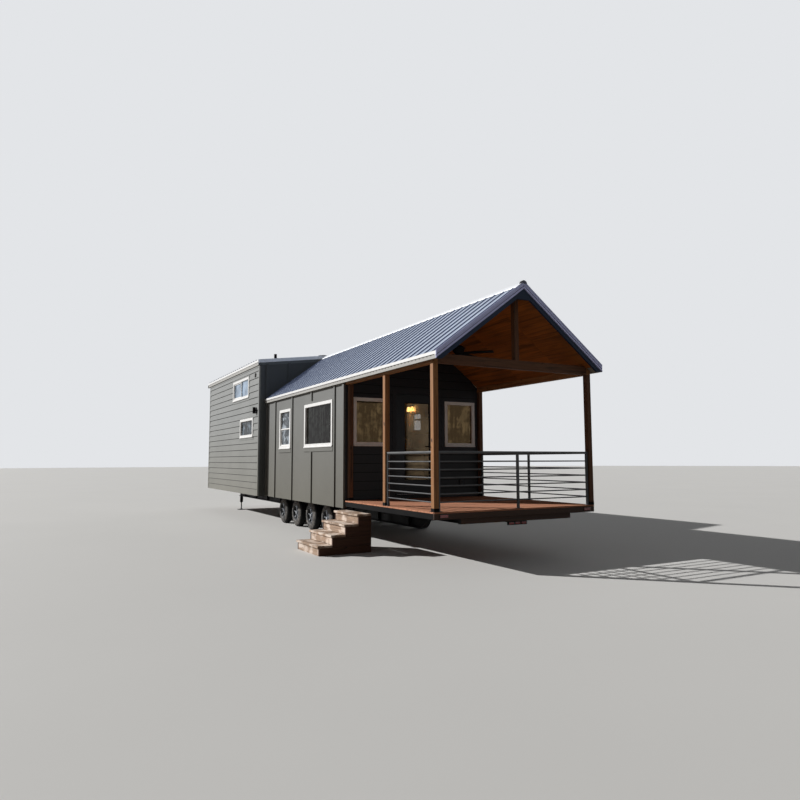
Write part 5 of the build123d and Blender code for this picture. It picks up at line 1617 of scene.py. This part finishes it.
class HouseLamps(bpy.types.Operator):
    """Tail lamps, wall lamps, the kitchen lamp and the small fittings on the walls"""

    bl_idname = "house.lamps"
    bl_label = "Lamps and fittings"

    def execute(self, context):
        black = black_paint()
        lamps, housings = [], []
        for x in (0.170 - HALF, HALF - 0.170):
            lamps.append(boxes([(x - 0.071, x + 0.071, -0.015, -0.004, 0.753, 0.799)]))
            housings.append(boxes([(x - 0.075, x + 0.075, -0.006, 0.0, 0.749, 0.803)]))
        top = NOSE_LOW
        for x in (-0.125, 0.0, 0.125):
            lamps.append(boxes([(x - 0.050, x + 0.050, 0.0605, 0.070, top - 0.048, top - 0.012)]))
        housings.append(boxes([(-0.190, 0.190, 0.066, 0.100, top - 0.058, top)]))
        piece("tail_lamp_lenses", lamps, red_lens(), replaces=["tail_lights"], bevel=0.003)
        piece("tail_lamp_bases", housings, black, bevel=0.002)
        self.wall_lamps(black)
        self.kitchen_lamp(black)
        self.fittings()
        return {"FINISHED"}

    def wall_lamps(self, black):
        """Up-and-down cylinder lamps on back plates."""
        profile = [(-0.085, 0.001), (-0.085, 0.034), (-0.083, 0.038), (0.083, 0.038), (0.085, 0.034),
                   (0.070, 0.032), (0.070, 0.001)]
        y, z, wall, reach = REAR + 0.250, 2.956, REAR_HALF, REAR_HALF + 0.077
        parts = []
        for s in (-1, 1):
            parts.append(lathe(profile, (s * reach, y, z), "z", 36))
            plate = (*span(s, wall, wall + 0.026), y - 0.050, y + 0.050, z - 0.080, z + 0.080)
            arm = (*span(s, wall + 0.02, reach), y - 0.018, y + 0.018, z - 0.018, z + 0.018)
            parts.append(boxes([plate, arm]))
        piece("wall_lamps", parts, black, replaces=["wall_sconces"], smooth=35, weld=True)

    def kitchen_lamp(self, black):
        """A bar with two shades over the kitchen tap."""
        x, y, z = 1.433, PORCH + 2.790, 2.985
        shade_line = [(0.0, 0.020), (-0.025, 0.036), (-0.06, 0.045), (-0.118, 0.048), (-0.118, 0.045),
                      (-0.06, 0.042), (-0.025, 0.033), (-0.003, 0.017)]
        socket = [(0.0, 0.001), (0.0, 0.024), (-0.012, 0.024), (-0.012, 0.001)]
        places = [(x, y + k * 0.090, z) for k in (-1, 1)]
        arms = [boxes([(x - 0.015, x + 0.015, y - 0.165, y + 0.165, z, z + 0.030),
                       (x, 1.505, y - 0.030, y + 0.030, z, z + 0.030)])]
        arms += [lathe(socket, place, "z", 20) for place in places]
        shades = [lathe(shade_line, place, "z", 28) for place in places]
        piece("kitchen_lamp_bar", arms, black, smooth=35, weld=True)
        piece("kitchen_lamp_shades", shades, amber_glass(), smooth=60)

    def fittings(self):
        """A weatherproof socket on the porch wall, and a box under the rear section's left eave."""
        socket = (1.046, 1.126, 1.080, 1.200, 0.010, 0.045)
        piece("porch_socket", [wall_boxes("porch", [socket])], black_paint("socket_grey", "#55585b", 0.5),
              bevel=0.006)
        box = (-8.874, -8.774, 3.874, 3.974, 0.008, 0.050)
        piece("eave_box", [wall_boxes("rear_left", [box])], side_trim_paint(), bevel=0.008)


class HouseKitchen(bpy.types.Operator):
    """The counter and tap that show through the door's glass, and shelves beside them"""

    bl_idname = "house.kitchen"
    bl_label = "Kitchen"

    def execute(self, context):
        x0, x1, y0, y1 = 0.870, 1.505, PORCH + 1.150, PORCH + 3.600
        top = FLOOR + 0.965
        inner = y0 + 0.025
        body = [(x0 + 0.025, x1, inner, y1 - 0.025, FLOOR + 0.1, top - 0.04),
                (x0 + 0.085, x1, inner, y1 - 0.025, FLOOR, FLOOR + 0.1)]
        width = (y1 - y0 - 0.05) / 4
        fronts = [(x0 + 0.006, x0 + 0.025, inner + width * k + 0.004, inner + width * (k + 1) - 0.004,
                   FLOOR + 0.11, top - 0.05) for k in range(4)]
        piece("kitchen_cabinets", [boxes(body + fronts)], plain("cabinet_lacquer", "#d8cfbb", 0.5),
              replaces=["kitchen_counter"], bevel=0.003)
        piece("kitchen_top", [boxes([(x0, x1, y0, y1, top - 0.04, top)])],
              timber("butcher_block", "y", "#9c6b43", "#5f3d24", 0.4), bevel=0.004)
        shelves = [(1.305, 1.505, 4.95, 5.66, z, z + 0.035) for z in (2.25, 2.60)]
        piece("kitchen_shelves", [boxes(shelves)], timber_along("y"), bevel=0.003)
        x, y, r = 1.350, PORCH + 2.590, 0.098
        bend = top + 0.290 - r - 0.012
        t = np.linspace(0, np.pi, 17)
        arc = np.stack([x - r + r * np.cos(t), 0 * t + y, bend + r * np.sin(t)], axis=1)
        path = np.vstack([[(x, y, top)], arc, [(x - 2 * r, y, bend - 0.090)]])
        collar = [(0.0, 0.001), (0.0, 0.026), (0.024, 0.026), (0.030, 0.020), (0.030, 0.001)]
        tap = [sweep(path, circle(0.012, 16), up=(0, 1, 0)), lathe(collar, (x, y, top), "z", 24)]
        piece("kitchen_tap", tap, black_paint("tap_black", "#101011", 0.3),
              replaces=["kitchen_faucet"], smooth=40, weld=True)
        return {"FINISHED"}


class HouseFinishes(bpy.types.Operator):
    """Finishes of the CAD pieces that show as they are"""

    bl_idname = "house.finishes"
    bl_label = "Finishes of the CAD pieces"

    def execute(self, context):
        inside = plain("indoor_paint", "#e4dccb", 0.8)
        walls = ["wall_left", "wall_right", "front_wall_left", "front_wall_right",
                 "front_wall_over_door", "dormer_wall_left", "dormer_wall_right", "rear_wall_left",
                 "rear_wall_right", "rear_end_wall"]
        for name in walls:
            self.cover(name, inside)
        for name in ("floor_main", "floor_rear"):
            self.cover(name, timber("floor_planks", "y", "#8c6a48", "#58402a", 0.5))
        for name in ("main_roof_left", "main_roof_right"):
            self.cover(name, soffit_paint())
        self.cover("cross_members", black_paint())
        return {"FINISHED"}

    def cover(self, name, material):
        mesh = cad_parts[name].data
        mesh.materials.clear()
        mesh.materials.append(material)


class HouseStage(bpy.types.Operator):
    """The floor, the lights and the camera"""

    bl_idname = "house.stage"
    bl_label = "Stage"

    def execute(self, context):
        self.floor()
        self.lights()
        self.camera()
        return {"FINISHED"}

    def floor(self):
        """A wide disc just under the wheels."""
        t = np.linspace(0, 2 * np.pi, 96, endpoint=False)
        r = np.array([0.001, 6.0, 20.0, 60.0, 160.0])
        points = np.stack([r[:, None] * np.cos(t), r[:, None] * np.sin(t),
                           -0.0005 + 0 * r[:, None] * t], axis=2)
        mesh = bpy.data.meshes.new("floor")
        mesh.from_pydata(points.reshape(-1, 3).tolist(), [], grid(len(r), len(t), False))
        mesh.materials.append(pale_floor())
        made = bpy.data.objects.new("floor", mesh)
        bpy.context.scene.collection.objects.link(made)

    def lights(self):
        """A low key from the left and behind, a weak broad fill from the far side, and an even world."""
        for name, energy, spread, high, turn in (("key", 4.8, 0.53, 26, 46), ("fill", 0.35, 50, 22, 150)):
            sun = bpy.data.lights.new(name, "SUN")
            sun.energy = energy
            sun.angle = np.radians(spread)
            made = bpy.data.objects.new(name, sun)
            high, turn = np.radians(high), np.radians(turn)
            to_sun = np.array([-np.cos(high) * np.cos(turn), np.cos(high) * np.sin(turn), np.sin(high)])
            side = np.cross([0, 0, 1], to_sun)
            side /= np.linalg.norm(side)
            axes = np.stack([side, np.cross(to_sun, side), to_sun], axis=1)
            made.matrix_world = Matrix([[*row, 0] for row in axes] + [[0, 0, 0, 1]])
            bpy.context.scene.collection.objects.link(made)
        world = bpy.data.worlds.new("studio")
        bpy.context.scene.world = world
        world.use_nodes = True
        tree = world.node_tree
        light = add(tree, "ShaderNodeBackground", {"Color": linear("#e4ebf5"), "Strength": 0.06})
        back = add(tree, "ShaderNodeBackground", {"Color": linear("#e3e5e8"), "Strength": 1.0})
        mixed = add(tree, "ShaderNodeMixShader", {0: seen(tree), 1: light.outputs[0], 2: back.outputs[0]})
        tree.links.new(mixed.outputs[0], tree.nodes["World Output"].inputs["Surface"])
        bpy.context.scene.view_settings.view_transform = "Standard"

    def camera(self):
        """The photograph's viewpoint, found by fitting a camera to points of the house."""
        yaw, pitch, roll = 0.4995, 0.0935, -0.0028
        forward = np.array([np.sin(yaw) * np.cos(pitch), np.cos(yaw) * np.cos(pitch), np.sin(pitch)])
        right = np.array([np.cos(yaw), -np.sin(yaw), 0.0])
        up = np.cross(right, forward)
        turned = right * np.cos(roll) + up * np.sin(roll)
        up = np.cross(turned, forward)
        view = bpy.data.cameras.new("camera")
        view.sensor_width = 36.0
        focal, photo_width = 641.21, 800
        view.lens = focal / photo_width * view.sensor_width
        view.clip_end = 500
        made = bpy.data.objects.new("camera", view)
        place = np.array([-6.6813, -8.2253, 1.6158]) + SHIFT
        axes = np.stack([turned, up, -forward, place], axis=1)
        made.matrix_world = Matrix([*axes.tolist(), [0, 0, 0, 1]])
        bpy.context.scene.collection.objects.link(made)
        bpy.context.scene.camera = made


OPERATORS = [
    HouseFinishes, HouseSiding, HouseLapSiding, HouseWindows, HouseDoor, HouseRoof, HouseRoofTrim,
    HousePorchTimber, HousePorchCeiling, HouseDeck, HouseRailings, HouseFan, HouseSteps, HouseWheels,
    HouseTrailer, HouseLamps, HouseKitchen, HouseStage,
]


class HousePanel(bpy.types.Panel):
    """Buttons for every piece, with the sizes and colours they use"""

    bl_idname = "VIEW3D_PT_house"
    bl_label = "Tiny house"
    bl_space_type = "VIEW_3D"
    bl_region_type = "UI"
    bl_category = "House"

    def draw(self, context):
        for settings in (context.scene.house_sizes, context.scene.house_colours):
            for name in settings.__annotations__:
                self.layout.prop(settings, name)
        for operator in OPERATORS:
            self.layout.operator(operator.bl_idname)


CLASSES = [HouseColours, HouseSizes, *OPERATORS, HousePanel]


def register():
    for each in CLASSES:
        bpy.utils.register_class(each)
    bpy.types.Scene.house_colours = bpy.props.PointerProperty(type=HouseColours)
    bpy.types.Scene.house_sizes = bpy.props.PointerProperty(type=HouseSizes)


def unregister():
    del bpy.types.Scene.house_sizes
    del bpy.types.Scene.house_colours
    for each in reversed(CLASSES):
        bpy.utils.unregister_class(each)


def main():
    register()
    for operator in OPERATORS:
        group, name = operator.bl_idname.split(".")
        getattr(getattr(bpy.ops, group), name)()


if __name__ == "__main__":
    main()
